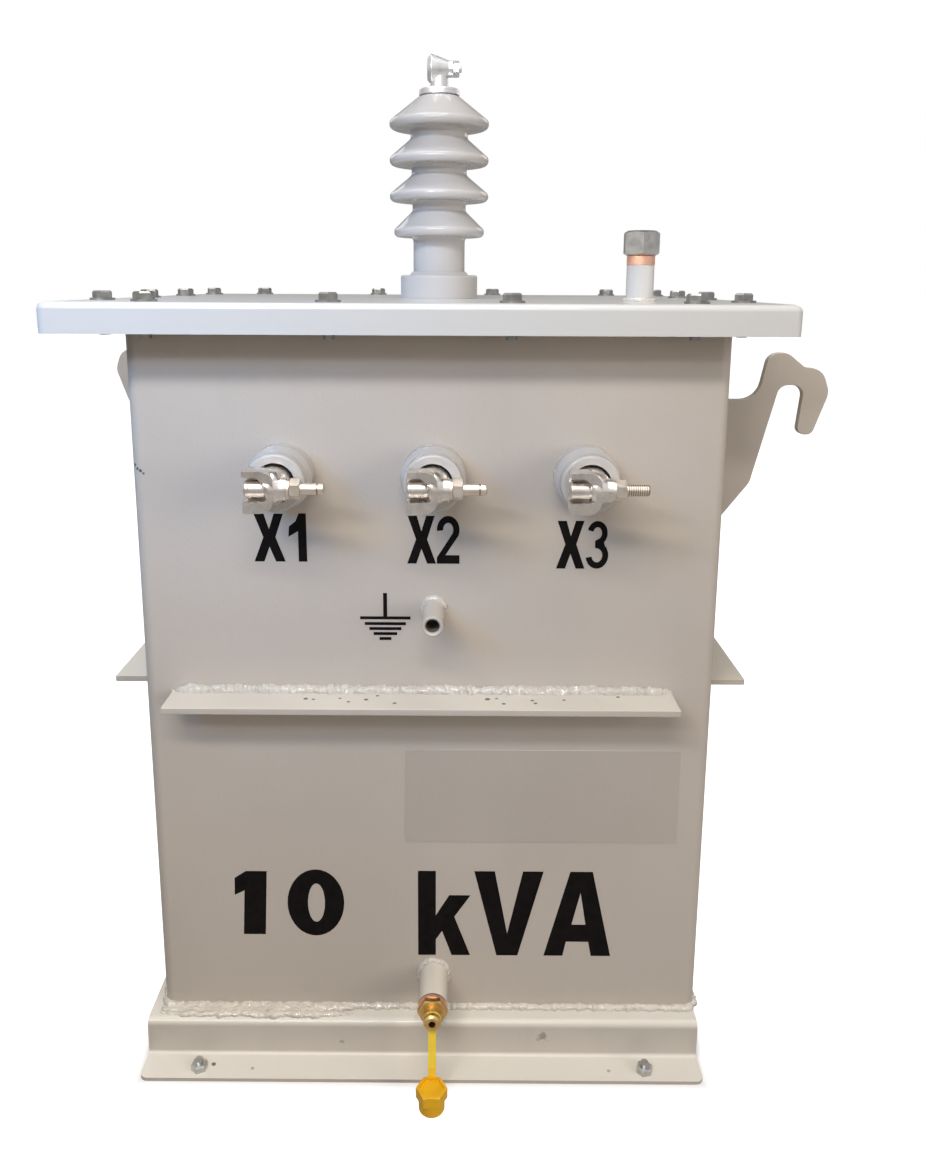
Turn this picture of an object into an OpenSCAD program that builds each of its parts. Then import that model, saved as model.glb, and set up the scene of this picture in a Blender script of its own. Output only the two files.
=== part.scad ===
// Pole-mounted single-phase transformer, 10 kVA: a welded rectangular tank on two bent sheet feet, closed
// by a bolted cover pan with a high-voltage bushing and a filler. Three low-voltage terminals are in front.
// Millimetres. +Z is up, the front looks along -Y, and the origin is in the middle of the foot bolts.

/* [Tank] */
// Width of the tank outside
tank_w = 440; // [400:1:480]
// Depth of the tank outside
tank_d = 386; // [350:1:420]
// Height of the tank from the foot ledge to the top of its flange
tank_h = 568; // [540:1:620]
// Thickness of the tank walls
tank_t = 3; // [2:0.5:5]
// Outside radius of the tank's upright corners
tank_r = 9; // [7:0.5:16]
// Thickness of the tank's floor plate
floor_t = 4; // [3:0.5:8]
// Sideways offset of the tank from the middle of its feet and cover
tank_x = 5; // [-8:0.5:8]

/* [Feet] */
// Height of the bent feet, from the floor to their ledge
foot_h = 33; // [26:1:50]
// Length of each foot across the tank
foot_l = 448; // [420:1:500]
// Thickness of the feet's sheet
foot_t = 3; // [2:0.5:5]
// Inside radius of the feet's bends
foot_bend = 3; // [2:0.5:5]
// How far the ledge stands out in front of the tank
ledge = 17; // [8:0.5:24]
// Width of the ledge under the tank
foot_seat = 76; // [40:1:120]
// Width of the floor flange in front of the web
foot_flange = 26; // [24:0.5:45]
// Diameter of the foot-bolt holes
foot_hole_d = 10; // [8:0.5:14]
// Distance between the foot bolts across the tank
foot_hole_x = 357; // [300:1:400]
// Distance from the edge of the floor flange to the foot bolts
foot_hole_edge = 10; // [8:0.5:11]
// Radius of the floor flange's corners
foot_corner = 6; // [1:0.5:10]

/* [Cover] */
// How far the cover overhangs the tank
cover_over = 40; // [36:1:48]
// Thickness of the cover sheet
cover_t = 3; // [2:0.5:4]
// Height of the cover's rim
rim_h = 21.5; // [18:0.5:30]
// Outside radius of the bend round the cover's top edge
cover_bend = 5; // [4.5:0.5:6.5]
// Radius of the cover's corners in plan
cover_r = 7; // [5.5:0.5:20]
// Clearance between the cover's rim and the tank flange
rim_gap = 2.5; // [1:0.5:4]
// Thickness of the gasket
gasket_t = 5; // [3:0.5:8]
// Thickness of the tank flange
flange_t = 6; // [4:0.5:8]
// Diameter of the cover-bolt holes
bolt_hole_d = 9; // [7:0.5:10]
// Distance from the cover's edge to the bolt rows
bolt_edge = 22.5; // [20:0.5:26]
// Spacing of the bolts in the front and back rows
bolt_pitch_x = 128; // [100:1:140]
// Spacing of the bolts in the side rows
bolt_pitch_y = 110; // [90:1:115]
// Bolts in each row
bolt_count = 4; // [2:1:4]

/* [Stiffeners] */
// Depth of the stiffener bars' top face below the tank's top
bar_drop = 288.5; // [270:0.5:340]
// How far the bars stand out from the tank
bar_reach = 32; // [20:1:50]
// Thickness of the bars
bar_t = 5; // [4:0.5:10]
// Distance from the tank's corners to the ends of the bars
bar_inset = 27; // [16:1:60]

/* [Lifting lugs] */
// Thickness of the lug plates
lug_t = 8; // [6:0.5:12]
// How far the hooks reach out from the tank
lug_reach = 107.5; // [102:0.5:125]
// Depth of the crown of the hook's slot below the tank's top
lug_drop = 60; // [54:1:90]
// Width of the hook's slot at its crown
lug_slot = 20; // [17:0.5:24]
// Width of the hook's nose beside the slot
lug_nose = 21; // [19:0.5:26]
// Depth of the slot, from its crown to the tip of the nose
lug_depth = 41; // [36:1:52]
// Height of the welded root along the tank wall
lug_root = 131; // [115:1:160]
// Depth of the root's top below the slot's crown
lug_step = 12; // [8:0.5:16]
// Height of the ear above the slot's crown
lug_ear = 26.5; // [22:0.5:32]
// Distance of each lug from the middle of the tank, front to back
lug_y = 94; // [60:1:120]

/* [High-voltage bushing] */
// Sideways offset of the bushings, the earth boss and the drain
fit_x = 9; // [-20:1:20]
// Place of the bushing front to back, from the middle
hv_y = -20; // [-80:1:60]
// Diameter of the collar on the cover
hv_collar_d = 67.5; // [60:0.5:90]
// Height of the collar
hv_collar_h = 20; // [14:0.5:26]
// Radius of the collar's upper edge
hv_collar_edge = 2; // [1:0.5:4]
// Diameter of the bushing's shank
hv_neck_d = 45; // [40:0.5:50]
// How much the necks widen from shed to shed
hv_neck_step = 0.7; // [0:0.1:2]
// Length of shank below the cover's top
hv_below = 9; // [6:0.5:20]
// Height of the lowest shed's rim above the cover
hv_shed_z = 56.5; // [48:0.5:70]
// Spacing of the sheds
hv_pitch = 30; // [30:0.5:36]
// Diameter of the upper sheds
hv_shed_d = 85.5; // [74:0.5:100]
// How much smaller the lowest shed is across
hv_shed_step = 7; // [0:0.5:10]
// Radius of the sheds' rims
hv_rim_r = 4; // [3:0.5:5]
// Radius of the fillets at the necks
hv_fillet = 4; // [2:0.5:5]
// Height of the sloping top of each shed
hv_slope_h = 18; // [16:0.5:19]
// Number of sheds
hv_sheds = 4; // [2:1:5]
// Diameter of the bushing's top
hv_top_d = 36; // [32:1:42]
// Height of the cone over the top shed
hv_cone_h = 22; // [18:1:32]
// Diameter of the metal cap
hv_cap_d = 34.5; // [30:0.5:36]
// Height of the metal cap with its seat
hv_cap_h = 6.5; // [5:0.5:9]
// Diameter of the cap's seat on the bushing
hv_seat_d = 28; // [22:0.5:29]
// Height of the groove under the cap
hv_seat_h = 1.5; // [1:0.5:3]
// Radius of the cap's upper edge
hv_cap_edge = 1.5; // [0.5:0.5:2.5]
// Diameter of the terminal's stem
hv_stem_d = 15.5; // [12:0.5:20]
// Height of the terminal's clamp axis above the cap
hv_axis = 16.5; // [15.5:0.5:22]
// Diameter of the terminal's clamp jaw
hv_jaw_d = 25; // [23:0.5:29]
// Length of the jaw on the keeper's side
hv_jaw_l = 10; // [8:0.1:12]
// Bevel round the end of the jaw
hv_jaw_bevel = 3.5; // [2:0.5:4.5]
// Place of the mouth's end, from the stem's axis
hv_mouth_x = -2; // [-3:0.5:0]
// Diameter of the terminal's boss under the nut
hv_boss_d = 13.5; // [12:0.5:16]
// Length of the boss from the stem's axis
hv_boss_l = 11.6; // [11:0.2:18]
// Length of the boss behind the nut
hv_boss_seat = 3.5; // [2:0.5:5]
// Diameter of the terminal's keeper
hv_keeper_d = 8.5; // [7:0.5:10]
// Diameter of the terminal's bolt
hv_bolt_d = 6; // [5:0.5:7]
// Width across flats of the terminal's nut
hv_nut_af = 12; // [10:0.5:14]
// Thickness of the terminal's nut
hv_nut_h = 5.5; // [4:0.5:8]
// Length of bolt past the terminal's nut
hv_bolt_tail = 2; // [1.5:0.5:6]

/* [Filler] */
// Place of the filler across the tank, from the middle
filler_x = 168; // [100:1:180]
// Place of the filler front to back, from the middle
filler_y = -123; // [-150:1:-80]
// Outside diameter of the filler pipe
filler_d = 21.3; // [17:0.1:24]
// Height of the pipe above the cover
filler_h = 27.5; // [20:0.5:50]
// Wall of the filler pipe
filler_wall = 2.5; // [2:0.1:4]
// Thickness of the sealing ring
filler_seal = 7; // [2:0.5:8]
// Width across flats of the hexagonal cap
filler_cap_af = 26; // [25:0.5:34]
// Diameter of the cap's flat ends
filler_face_d = 21.5; // [18:0.5:23]
// Height of the cap
filler_cap_h = 19; // [14:0.5:26]
// Turn of the cap's corners from the X axis
filler_turn = 26; // [0:1:60]

/* [Low-voltage terminals] */
// Depth of the low-voltage terminals below the tank's top
lv_drop = 117.5; // [105:0.5:150]
// Spacing of the low-voltage terminals
lv_pitch = 111.5; // [95:0.5:125]
// Diameter of the bushing's foot on the tank
lv_foot_d = 47.5; // [46:0.5:60]
// Length of the bushing's foot
lv_foot_l = 16; // [8:0.5:20]
// Radius of the bushing's shoulder
lv_shoulder = 5; // [3:0.5:6]
// Diameter of the bushing's front ring
lv_ring_d = 42; // [40:0.5:45]
// How far the bushing stands out from the tank
lv_reach = 34; // [30:0.5:46]
// Radius of the ring's front edge
lv_edge = 2; // [1:0.5:3]
// Diameter of the bushing's shank in the tank wall
lv_shank_d = 36; // [30:0.5:40]
// Length of shank inside the tank's face
lv_below = 9; // [6:0.5:20]
// Diameter of the recess round the connector's hub
lv_recess_d = 29; // [27:0.5:34]
// Depth of the recess
lv_recess = 17; // [10:0.5:24]
// Diameter of the connector's hub
lv_hub_d = 25.5; // [22:0.5:26.5]
// Distance of the clamp bolt's axis from the bushing's front
lv_axis = 17; // [16:0.5:22]
// Height of the connector's jaw above the clamp axis
lv_jaw_up = 13.5; // [13:0.5:16]
// Depth of the connector's jaw below the clamp axis
lv_jaw_down = 15.5; // [14:0.5:18]
// Length of the jaw on the keeper's side
lv_jaw_l = 17; // [16:0.5:24]
// Radius of the jaw's lips
lv_jaw_edge = 1.5; // [0.5:0.5:2]
// Length of the jaw's round end past the hub's axis
lv_eye_l = 4; // [3:0.5:6]
// Thickness of the wall round the keeper's end
lv_eye_t = 3; // [2:0.5:4]
// Radius of the jaw's round end
lv_eye_r = 9; // [7:0.5:10]
// Thickness of the jaw's upper lip
lv_lip = 4; // [3:0.5:6]
// How far the jaw stands in front of the clamp axis
lv_jaw_front = 9.5; // [7:0.5:12]
// How far the jaw reaches behind the clamp axis
lv_jaw_back = 7; // [6:0.5:9]
// Depth of the jaw's mouth behind the clamp axis
lv_mouth = 4; // [3:0.5:5]
// Radius of the mouth's upper corners
lv_mouth_edge = 5; // [4:0.5:5.5]
// Diameter of the cone beside the jaw
lv_cone_d = 22; // [19:0.5:24]
// Length of the body on the nut's side
lv_boss_l = 12; // [11:0.5:18]
// Length of the boss behind the washer
lv_boss_seat = 4; // [2:0.5:6]
// Diameter of the boss under the nut
lv_boss_d = 16.5; // [15.5:0.5:19]
// Diameter of the keeper
lv_keeper_d = 13; // [11:0.5:14]
// Gap between the keeper and the sides of its mouth
lv_gap = 1; // [0.5:0.1:1.5]
// Diameter of the clamp bolt
lv_bolt_d = 8; // [6:0.5:9]
// Diameter of the spring washer
lv_washer_d = 14.5; // [13:0.5:16]
// Thickness of the spring washer
lv_washer_h = 2.2; // [1.5:0.1:3]
// Width across flats of the clamp nut
lv_nut_af = 13; // [12:0.5:17]
// Thickness of the clamp nut
lv_nut_h = 7.3; // [5:0.1:10]
// Turn of the clamp nut, which brings an edge to the front
lv_nut_turn = 30; // [0:1:60]
// Length of bolt past the clamp nut
lv_bolt_tail = 16.5; // [8:0.5:24]
// Bevel at the end of the clamp bolt
lv_bevel = 1; // [0.5:0.1:2]

/* [Earth boss and drain] */
// Depth of the earth boss below the tank's top
earth_drop = 221; // [205:1:250]
// Outside diameter of the earth boss
earth_d = 15.5; // [14.5:0.5:24]
// How far the earth boss stands out from the tank
earth_reach = 40; // [26:1:50]
// Bore of the earth boss, tapped for a 12 mm bolt
earth_bore = 10.2; // [8:0.1:11.4]
// Diameter of the bore's bevelled mouth
earth_mouth = 12.6; // [11.6:0.1:12.8]
// Depth of the bore
earth_depth = 24; // [15:1:36]
// Bevel round the boss's end
earth_bevel = 0.6; // [0.3:0.1:0.8]
// Height of the drain above the floor
drain_z = 64.5; // [58:0.5:80]
// Outside diameter of the drain coupling
drain_d = 23; // [21:0.5:30]
// How far the coupling stands out from the tank
drain_reach = 36; // [28:0.5:45]
// Thickness of the copper washer
drain_seal = 3.5; // [1.5:0.5:5]
// Width across flats of the valve's hexagon
drain_af = 20.5; // [18:0.5:22]
// Thickness of the valve's hexagon
drain_hex = 5; // [4:0.5:10]
// Diameter of the neck in front of the hexagon
drain_neck_d = 13.5; // [12:0.5:15]
// Length of the neck
drain_neck = 5; // [3:0.5:8]
// Diameter of the groove that holds the strap
drain_groove_d = 10.5; // [8:0.5:11]
// Width of the groove
drain_groove = 1.8; // [1.7:0.1:3]
// Diameter of the valve's nose
drain_nose_d = 13.5; // [12.5:0.5:16]
// Length of the valve's nose
drain_nose = 4.5; // [4:0.5:12]
// Bevel round the valve's nose
drain_bevel = 1.5; // [0.5:0.1:2]
// Bore of the valve's nose
drain_bore = 5.5; // [3:0.5:7]
// Diameter of the dust cap's skirt
dust_d = 20; // [18:0.5:24]
// Width across flats of the dust cap's head
dust_af = 21; // [20:0.5:24]
// Height of the dust cap's head
dust_head = 8; // [5:0.5:10]
// Width of the rim round the recess in the dust cap's head
dust_rim = 2.2; // [1.5:0.1:4]
// Depth of the recess
dust_dish = 2; // [1:0.5:2.5]
// Height of the whole dust cap
dust_h = 19; // [17:0.5:30]
// Bore of the dust cap
dust_bore = 15; // [14:0.5:16]
// Radius round the dust cap's lower edge
dust_edge = 2; // [1:0.5:2.4]
// Gap between the hanging dust cap and the floor
dust_gap = 1.5; // [0.5:0.5:4]
// Distance of the dust cap in front of the valve's neck
dust_lean = 18.5; // [16:0.5:32]
// Width of the dust cap's strap
strap_w = 6; // [4:0.5:8]
// Thickness of the dust cap's strap
strap_t = 1.4; // [1:0.1:1.6]
// Inside radius of the strap's bends
strap_bend = 3; // [2:0.5:5]
// Length of the strap's straight ends
strap_end = 6; // [4:0.5:8]

/* [Hidden] */
$fn = 64;

paint = [0.72, 0.71, 0.69];
cover_paint = [0.86, 0.86, 0.86];
insulator = [0.80, 0.80, 0.79];
aluminium = [0.76, 0.75, 0.73];
zinc = [0.66, 0.66, 0.64];
brass = [0.71, 0.52, 0.22];
copper = [0.80, 0.45, 0.28];
cap_yellow = [0.95, 0.72, 0.08];
cork = [0.22, 0.21, 0.20];

slide = 0.2;
hex_corner = 1 / cos(30);
hex_face = 0.95;
hex_lean = 30;
hex_over = 0.2;
arc_steps = 6;
past = 1;
front = -tank_d / 2;
flange_top = foot_h + tank_h;
cover_top = flange_top + gasket_t + cover_t;
cover_w = tank_w + 2 * cover_over;
cover_d = tank_d + 2 * cover_over;
flange_w = cover_w - 2 * (cover_t + rim_gap);
flange_d = cover_d - 2 * (cover_t + rim_gap);
flange_r = cover_r - cover_t;
row_y = cover_d / 2 - bolt_edge;
column_x = cover_w / 2 - bolt_edge;
foot_hole_y = tank_d / 2 + ledge + foot_flange - foot_hole_edge;
bar_z = flange_top - bar_drop;
lug_z = flange_top - lug_drop;
lv_z = flange_top - lv_drop;
lv_jaw_h = lv_jaw_up + lv_jaw_down;
earth_z = flange_top - earth_drop;

// Rounded rectangle about the origin
module rounded_rect(w, d, r) {
  square([w - 2 * r, d], center = true);
  square([w, d - 2 * r], center = true);
  for (sx = [-1, 1], sy = [-1, 1]) translate([sx * (w / 2 - r), sy * (d / 2 - r)]) circle(r);
}

// One corner and the straight run beside it, for a profile whose x runs outward from the corner's centre
module corner_and_run(w, d, r) {
  translate([w / 2 - r, d / 2 - r]) {
    rotate_extrude(angle = 90) children();
    rotate([90, 0, 0]) linear_extrude(d - 2 * r) children();
  }
}

// Carries a profile round a rounded rectangle
module sweep_round(w, d, r) {
  for (turn = [0, 180]) rotate(turn) corner_and_run(w, d, r) children();
  for (turn = [90, 270]) rotate(turn) corner_and_run(d, w, r) children();
}

// Quarter of a bent sheet, in the first quadrant about its bend centre
module bend_section(r_in, t) {
  intersection() {
    difference() {
      circle(r_in + t);
      circle(r_in);
    }
    square(r_in + t);
  }
}

// Points along an arc
function arc_points(centre, r, start, sweep) =
  [for (i = [0:arc_steps]) let (turn = start + sweep * i / arc_steps) centre + r * [cos(turn), sin(turn)]];

// Points of an outline's corner b = [x, y, radius], between its neighbours a and c
function corner_points(a, b, c) =
  let (
    p = [b.x, b.y],
    u = ([a.x, a.y] - p) / norm([a.x, a.y] - p),
    v = ([c.x, c.y] - p) / norm([c.x, c.y] - p),
    half = acos(max(-1, min(1, u * v))) / 2,
    centre = p + (u + v) / norm(u + v) * b.z / sin(half),
    from = p + u * b.z / tan(half) - centre,
    to = p + v * b.z / tan(half) - centre,
    start = atan2(from.y, from.x),
    raw = atan2(to.y, to.x) - start,
    sweep = raw > 180 ? raw - 360 : raw < -180 ? raw + 360 : raw
  )
  b.z == 0 ? [p] : arc_points(centre, b.z, start, sweep);

function rounded_outline(corners) =
  let (n = len(corners))
  [for (i = [0:n - 1]) each corner_points(corners[(i + n - 1) % n], corners[i], corners[(i + 1) % n])];

module rounded_polygon(corners) {
  polygon(rounded_outline(corners));
}

// Turned piece from half its section, as corners [radius, height, corner radius]
module turned(corners) {
  rotate_extrude() rounded_polygon(corners);
}

// Hexagon with its corners turned off round a flat face at the top, and at the bottom too if both is true
module hexagon(af, h, both = false, face_d = 0) {
  face_r = (face_d > 0 ? face_d : hex_face * af) / 2;
  corner_r = hex_corner * af / 2 + hex_over;
  rise = (corner_r - face_r) * tan(hex_lean);
  low = both ? [[face_r, 0], [corner_r, rise]] : [[corner_r, 0]];
  intersection() {
    cylinder(d = hex_corner * af, h = h, $fn = 6);
    rotate_extrude() polygon(concat([[0, 0]], low, [[corner_r, h - rise], [face_r, h], [0, h]]));
  }
}

// Puts a shape that is drawn about the tank's own middle in its place over the feet
module on_tank() {
  translate([tank_x, 0]) children();
}

// Puts a shape drawn up the Z axis on the tank's front, pointing at the viewer
module on_front(x, z) {
  translate([x, front, z]) rotate([90, 0, 0]) children();
}

// Round bar between two heights
module bar_between(d, z0, z1) {
  translate([0, 0, z0]) cylinder(d = d, h = z1 - z0);
}

// Cover-bolt holes through everything between two heights
module bolt_holes(z0, z1) {
  for (i = [0:bolt_count - 1], side = [-1, 1]) {
    along = i - (bolt_count - 1) / 2;
    translate([along * bolt_pitch_x, side * row_y, 0]) bar_between(bolt_hole_d, z0, z1);
    translate([side * column_x, along * bolt_pitch_y, 0]) bar_between(bolt_hole_d, z0, z1);
  }
}

function lv_x(i) = fit_x + (i - 2) * lv_pitch;
lv_seat = lv_reach - lv_recess;

// Tank and its base
module tank_shell() color(paint) {
  difference() {
    translate([0, 0, foot_h]) linear_extrude(tank_h) on_tank() difference() {
      rounded_rect(tank_w, tank_d, tank_r);
      rounded_rect(tank_w - 2 * tank_t, tank_d - 2 * tank_t, tank_r - tank_t);
    }
    for (i = [1:3]) on_front(lv_x(i), lv_z) bar_between(lv_shank_d + 2 * slide, -2 * tank_t, tank_t);
    on_front(fit_x, drain_z) bar_between(drain_bore, -2 * tank_t, tank_t);
  }
}

module tank_floor() color(paint) {
  translate([0, 0, foot_h]) linear_extrude(floor_t)
    on_tank() rounded_rect(tank_w - 2 * tank_t, tank_d - 2 * tank_t, tank_r - tank_t);
}

module tank_flange() color(paint) {
  difference() {
    translate([0, 0, flange_top - flange_t]) linear_extrude(flange_t) difference() {
      rounded_rect(flange_w, flange_d, flange_r);
      on_tank() rounded_rect(tank_w, tank_d, tank_r);
    }
    bolt_holes(flange_top - 2 * flange_t, flange_top + flange_t);
  }
}

module cover_gasket() color(cork) {
  difference() {
    translate([0, 0, flange_top]) linear_extrude(gasket_t) difference() {
      rounded_rect(flange_w, flange_d, flange_r);
      on_tank() rounded_rect(tank_w - 2 * tank_t, tank_d - 2 * tank_t, tank_r - tank_t);
    }
    bolt_holes(flange_top - gasket_t, flange_top + 2 * gasket_t);
  }
}

// Section through the cover's rim and the bend above it
module rim_section() {
  translate([cover_r - cover_t, 0]) square([cover_t, rim_h - cover_bend]);
  translate([cover_r - cover_bend, rim_h - cover_bend]) bend_section(cover_bend - cover_t, cover_t);
}

module cover() color(cover_paint) {
  difference() {
    union() {
      translate([0, 0, cover_top - rim_h]) sweep_round(cover_w, cover_d, cover_r) rim_section();
      translate([0, 0, cover_top - cover_t]) linear_extrude(cover_t)
        rounded_rect(cover_w - 2 * cover_bend, cover_d - 2 * cover_bend, cover_r - cover_bend);
    }
    bolt_holes(cover_top - 2 * cover_t, cover_top + cover_t);
    on_cover(fit_x, hv_y) bar_between(hv_neck_d + 2 * slide, -2 * cover_t, cover_t);
    on_cover(filler_x, filler_y) bar_between(filler_bore, -2 * cover_t, cover_t);
  }
}

// Z-shaped section of a foot: x runs out from the tank's wall, y runs up
module foot_section() {
  outer = foot_bend + foot_t;
  web_x = ledge - foot_t;
  translate([ledge - outer - foot_seat, foot_h - foot_t]) square([foot_seat, foot_t]);
  translate([ledge - outer, foot_h - outer]) bend_section(foot_bend, foot_t);
  translate([web_x, outer]) square([foot_t, foot_h - 2 * outer]);
  translate([web_x + outer, outer]) rotate(180) bend_section(foot_bend, foot_t);
  translate([web_x + outer, 0]) square([foot_flange + foot_t - outer, foot_t]);
}

// Plan of a foot, with its floor flange's corners rounded
module foot_plan() {
  edge = front - ledge - foot_flange;
  half = foot_l / 2;
  rounded_polygon([[-half, 0, 0], [-half, edge, foot_corner], [half, edge, foot_corner], [half, 0, 0]]);
}

module foot() color(paint) {
  difference() {
    intersection() {
      translate([-foot_l, front, 0]) rotate([90, 0, 90])
        linear_extrude(2 * foot_l) mirror([1, 0]) foot_section();
      translate([0, 0, -past]) linear_extrude(foot_h + 2 * past) foot_plan();
    }
    for (side = [-1, 1]) translate([side * foot_hole_x / 2, -foot_hole_y, 0])
      bar_between(foot_hole_d, -foot_t, 2 * foot_t);
  }
}

module foot_front() foot();

module foot_back() rotate(180) foot();

// Stiffener bars welded round the tank
module stiffener(length, wall) color(paint) {
  translate([-length / 2, -wall - bar_reach, bar_z - bar_t]) cube([length, bar_reach, bar_t]);
}

module stiffener_front() stiffener(tank_w - 2 * bar_inset, tank_d / 2);

module stiffener_back() rotate(180) stiffener(tank_w - 2 * bar_inset, tank_d / 2);

module stiffener_right() on_tank() rotate(90) stiffener(tank_d - 2 * bar_inset, tank_w / 2);

module stiffener_left() on_tank() rotate(270) stiffener(tank_d - 2 * bar_inset, tank_w / 2);

// Hook-shaped lifting lug: x runs out from the tank's wall, y runs up from the slot's crown
module lug_outline() {
  nose_in = lug_reach - lug_nose;
  slot_in = nose_in - lug_slot;
  throat = slot_in - 18;
  ear_in = slot_in - 10.5;
  ear_out = slot_in + 5;
  saddle = 14.5;
  shoulder = lug_reach - 7;
  heel = 6;
  tip_in = nose_in - 4;
  tip_w = 13;
  knee_in = slot_in - 20;
  knee = 82;
  throat_r = 17;
  ear_r = 10;
  shoulder_r = 14;
  heel_r = 16;
  tip_r = 6;
  slot_r = 8.5;
  knee_r = 12;
  rounded_polygon([
    [0, -lug_step, 0],
    [throat, -lug_step, throat_r],
    [ear_in, lug_ear, ear_r],
    [ear_out, lug_ear, ear_r],
    [nose_in, saddle, ear_r],
    [shoulder, saddle, shoulder_r],
    [lug_reach, -heel, heel_r],
    [tip_in + tip_w, -lug_depth, tip_r],
    [tip_in, -lug_depth, tip_r],
    [nose_in, 0, slot_r],
    [slot_in, 0, slot_r],
    [knee_in, -knee, knee_r],
    [0, -lug_step - lug_root, 0]
  ]);
}

module lifting_lug() color(paint) {
  translate([tank_w / 2, -lug_y + lug_t / 2, lug_z]) rotate([90, 0, 0]) linear_extrude(lug_t) lug_outline();
}

module lifting_lug_right() on_tank() lifting_lug();

module lifting_lug_left() on_tank() rotate(180) lifting_lug();

// High-voltage bushing on the cover
module on_cover(x, y) {
  translate([x, y, cover_top]) children();
}

hv_rim_rise = 0.6 * hv_rim_r;
hv_top_edge = 1;
function neck_r(i) = hv_neck_d / 2 + i * hv_neck_step;
function shed_z(i) = hv_shed_z + i * hv_pitch;
function shed_r(i) = (i == 0 ? hv_shed_d - hv_shed_step : hv_shed_d) / 2;
hv_top = shed_z(hv_sheds - 1) + hv_cone_h;
hv_cap_top = hv_top + hv_cap_h;

// Corners of one shed's half section: flat underside, round rim and a top that slopes up to the next neck
function shed_corners(i) = [
  [neck_r(i), shed_z(i) - hv_rim_r, hv_fillet],
  [shed_r(i), shed_z(i) - hv_rim_r, hv_rim_r],
  [shed_r(i), shed_z(i) + hv_rim_rise, hv_rim_r],
  i == hv_sheds - 1
    ? [hv_top_d / 2, hv_top, hv_top_edge]
    : [neck_r(i + 1), shed_z(i) + hv_slope_h, hv_fillet]
];

module hv_collar() color(insulator) {
  bore_r = hv_neck_d / 2 + slide;
  lip = 1;
  flare = hv_collar_edge + lip;
  on_cover(fit_x, hv_y) turned([
    [bore_r, 0, 0],
    [hv_collar_d / 2, 0, 0],
    [hv_collar_d / 2, hv_collar_h, hv_collar_edge],
    [bore_r + flare, hv_collar_h, hv_collar_edge],
    [bore_r + lip, hv_collar_h + flare, 0],
    [bore_r, hv_collar_h + flare, 0]
  ]);
}

module hv_bushing() color(insulator) {
  on_cover(fit_x, hv_y) turned(concat(
    [[0, -hv_below, 0], [neck_r(0), -hv_below, 0]],
    [for (i = [0:hv_sheds - 1]) each shed_corners(i)],
    [[0, hv_top, 0]]
  ));
}

module hv_cap() color(aluminium) {
  on_cover(fit_x, hv_y) turned([
    [0, hv_top, 0],
    [hv_seat_d / 2, hv_top, 0],
    [hv_seat_d / 2, hv_top + hv_seat_h, 0],
    [hv_cap_d / 2, hv_top + hv_seat_h, 0],
    [hv_cap_d / 2, hv_cap_top, hv_cap_edge],
    [0, hv_cap_top, 0]
  ]);
}

// Puts a shape drawn up the Z axis on the terminal's clamp axis, pointing to the viewer's right
module on_hv_clamp() {
  on_cover(fit_x, hv_y) translate([0, 0, hv_cap_top + hv_axis]) rotate([0, 90, 0]) children();
}

hv_mouth = hv_keeper_d / 2 + 2 * slide;

// Stem and clamp jaw: a cone with a mouth open to the left and upward, and a boss under the nut
module hv_terminal() color(aluminium) {
  jaw_r = hv_jaw_d / 2;
  nose_r = jaw_r - hv_jaw_bevel;
  edge = 1;
  difference() {
    union() {
      on_cover(fit_x, hv_y) bar_between(hv_stem_d, hv_cap_top, hv_cap_top + hv_axis - jaw_r / 2);
      on_hv_clamp() turned([
        [0, -hv_jaw_l, 0],
        [nose_r, -hv_jaw_l, edge],
        [jaw_r, hv_jaw_bevel - hv_jaw_l, edge],
        [hv_boss_d / 2, hv_boss_l - hv_boss_seat, hv_boss_seat / 2],
        [hv_boss_d / 2, hv_boss_l, 0],
        [0, hv_boss_l, 0]
      ]);
    }
    on_cover(fit_x, hv_y) translate([-2 * jaw_r, -hv_mouth, hv_cap_top + hv_axis - hv_mouth])
      cube([2 * jaw_r + hv_mouth_x, 2 * hv_mouth, 2 * jaw_r]);
    on_hv_clamp() bar_between(hv_bolt_d + 2 * slide, hv_mouth_x - past, 2 * hv_boss_l);
  }
}

// Bolt whose head is the keeper, with its nut
module hv_clamp_bolt() color(zinc) {
  keeper_end = hv_mouth_x - slide;
  keeper_edge = 2;
  bolt_end = hv_boss_l + hv_nut_h + hv_bolt_tail;
  bolt_edge_r = 1;
  on_hv_clamp() {
    turned([
      [0, -hv_jaw_l, 0],
      [hv_keeper_d / 2, -hv_jaw_l, keeper_edge],
      [hv_keeper_d / 2, keeper_end, 0],
      [hv_bolt_d / 2, keeper_end, 0],
      [hv_bolt_d / 2, bolt_end, bolt_edge_r],
      [0, bolt_end, 0]
    ]);
    translate([0, 0, hv_boss_l]) hexagon(hv_nut_af, hv_nut_h, true);
  }
}

// Filler pipe with its sealed cap
filler_bore = filler_d - 2 * filler_wall;
filler_seat = filler_h + filler_seal;

module filler_pipe() color(cover_paint) {
  on_cover(filler_x, filler_y) difference() {
    bar_between(filler_d, 0, filler_h);
    bar_between(filler_bore, -past, filler_h + past);
  }
}

module filler_washer() color(copper) {
  on_cover(filler_x, filler_y) difference() {
    bar_between(filler_d + 2 * slide, filler_h, filler_seat);
    bar_between(filler_bore, filler_h - past, filler_seat + past);
  }
}

module filler_cap() color(zinc) {
  on_cover(filler_x, filler_y) {
    translate([0, 0, filler_seat]) rotate(filler_turn)
      hexagon(filler_cap_af, filler_cap_h, true, filler_face_d);
    bar_between(filler_bore - 2 * slide, filler_seat - 2 * filler_seal, filler_seat + past);
  }
}

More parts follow.
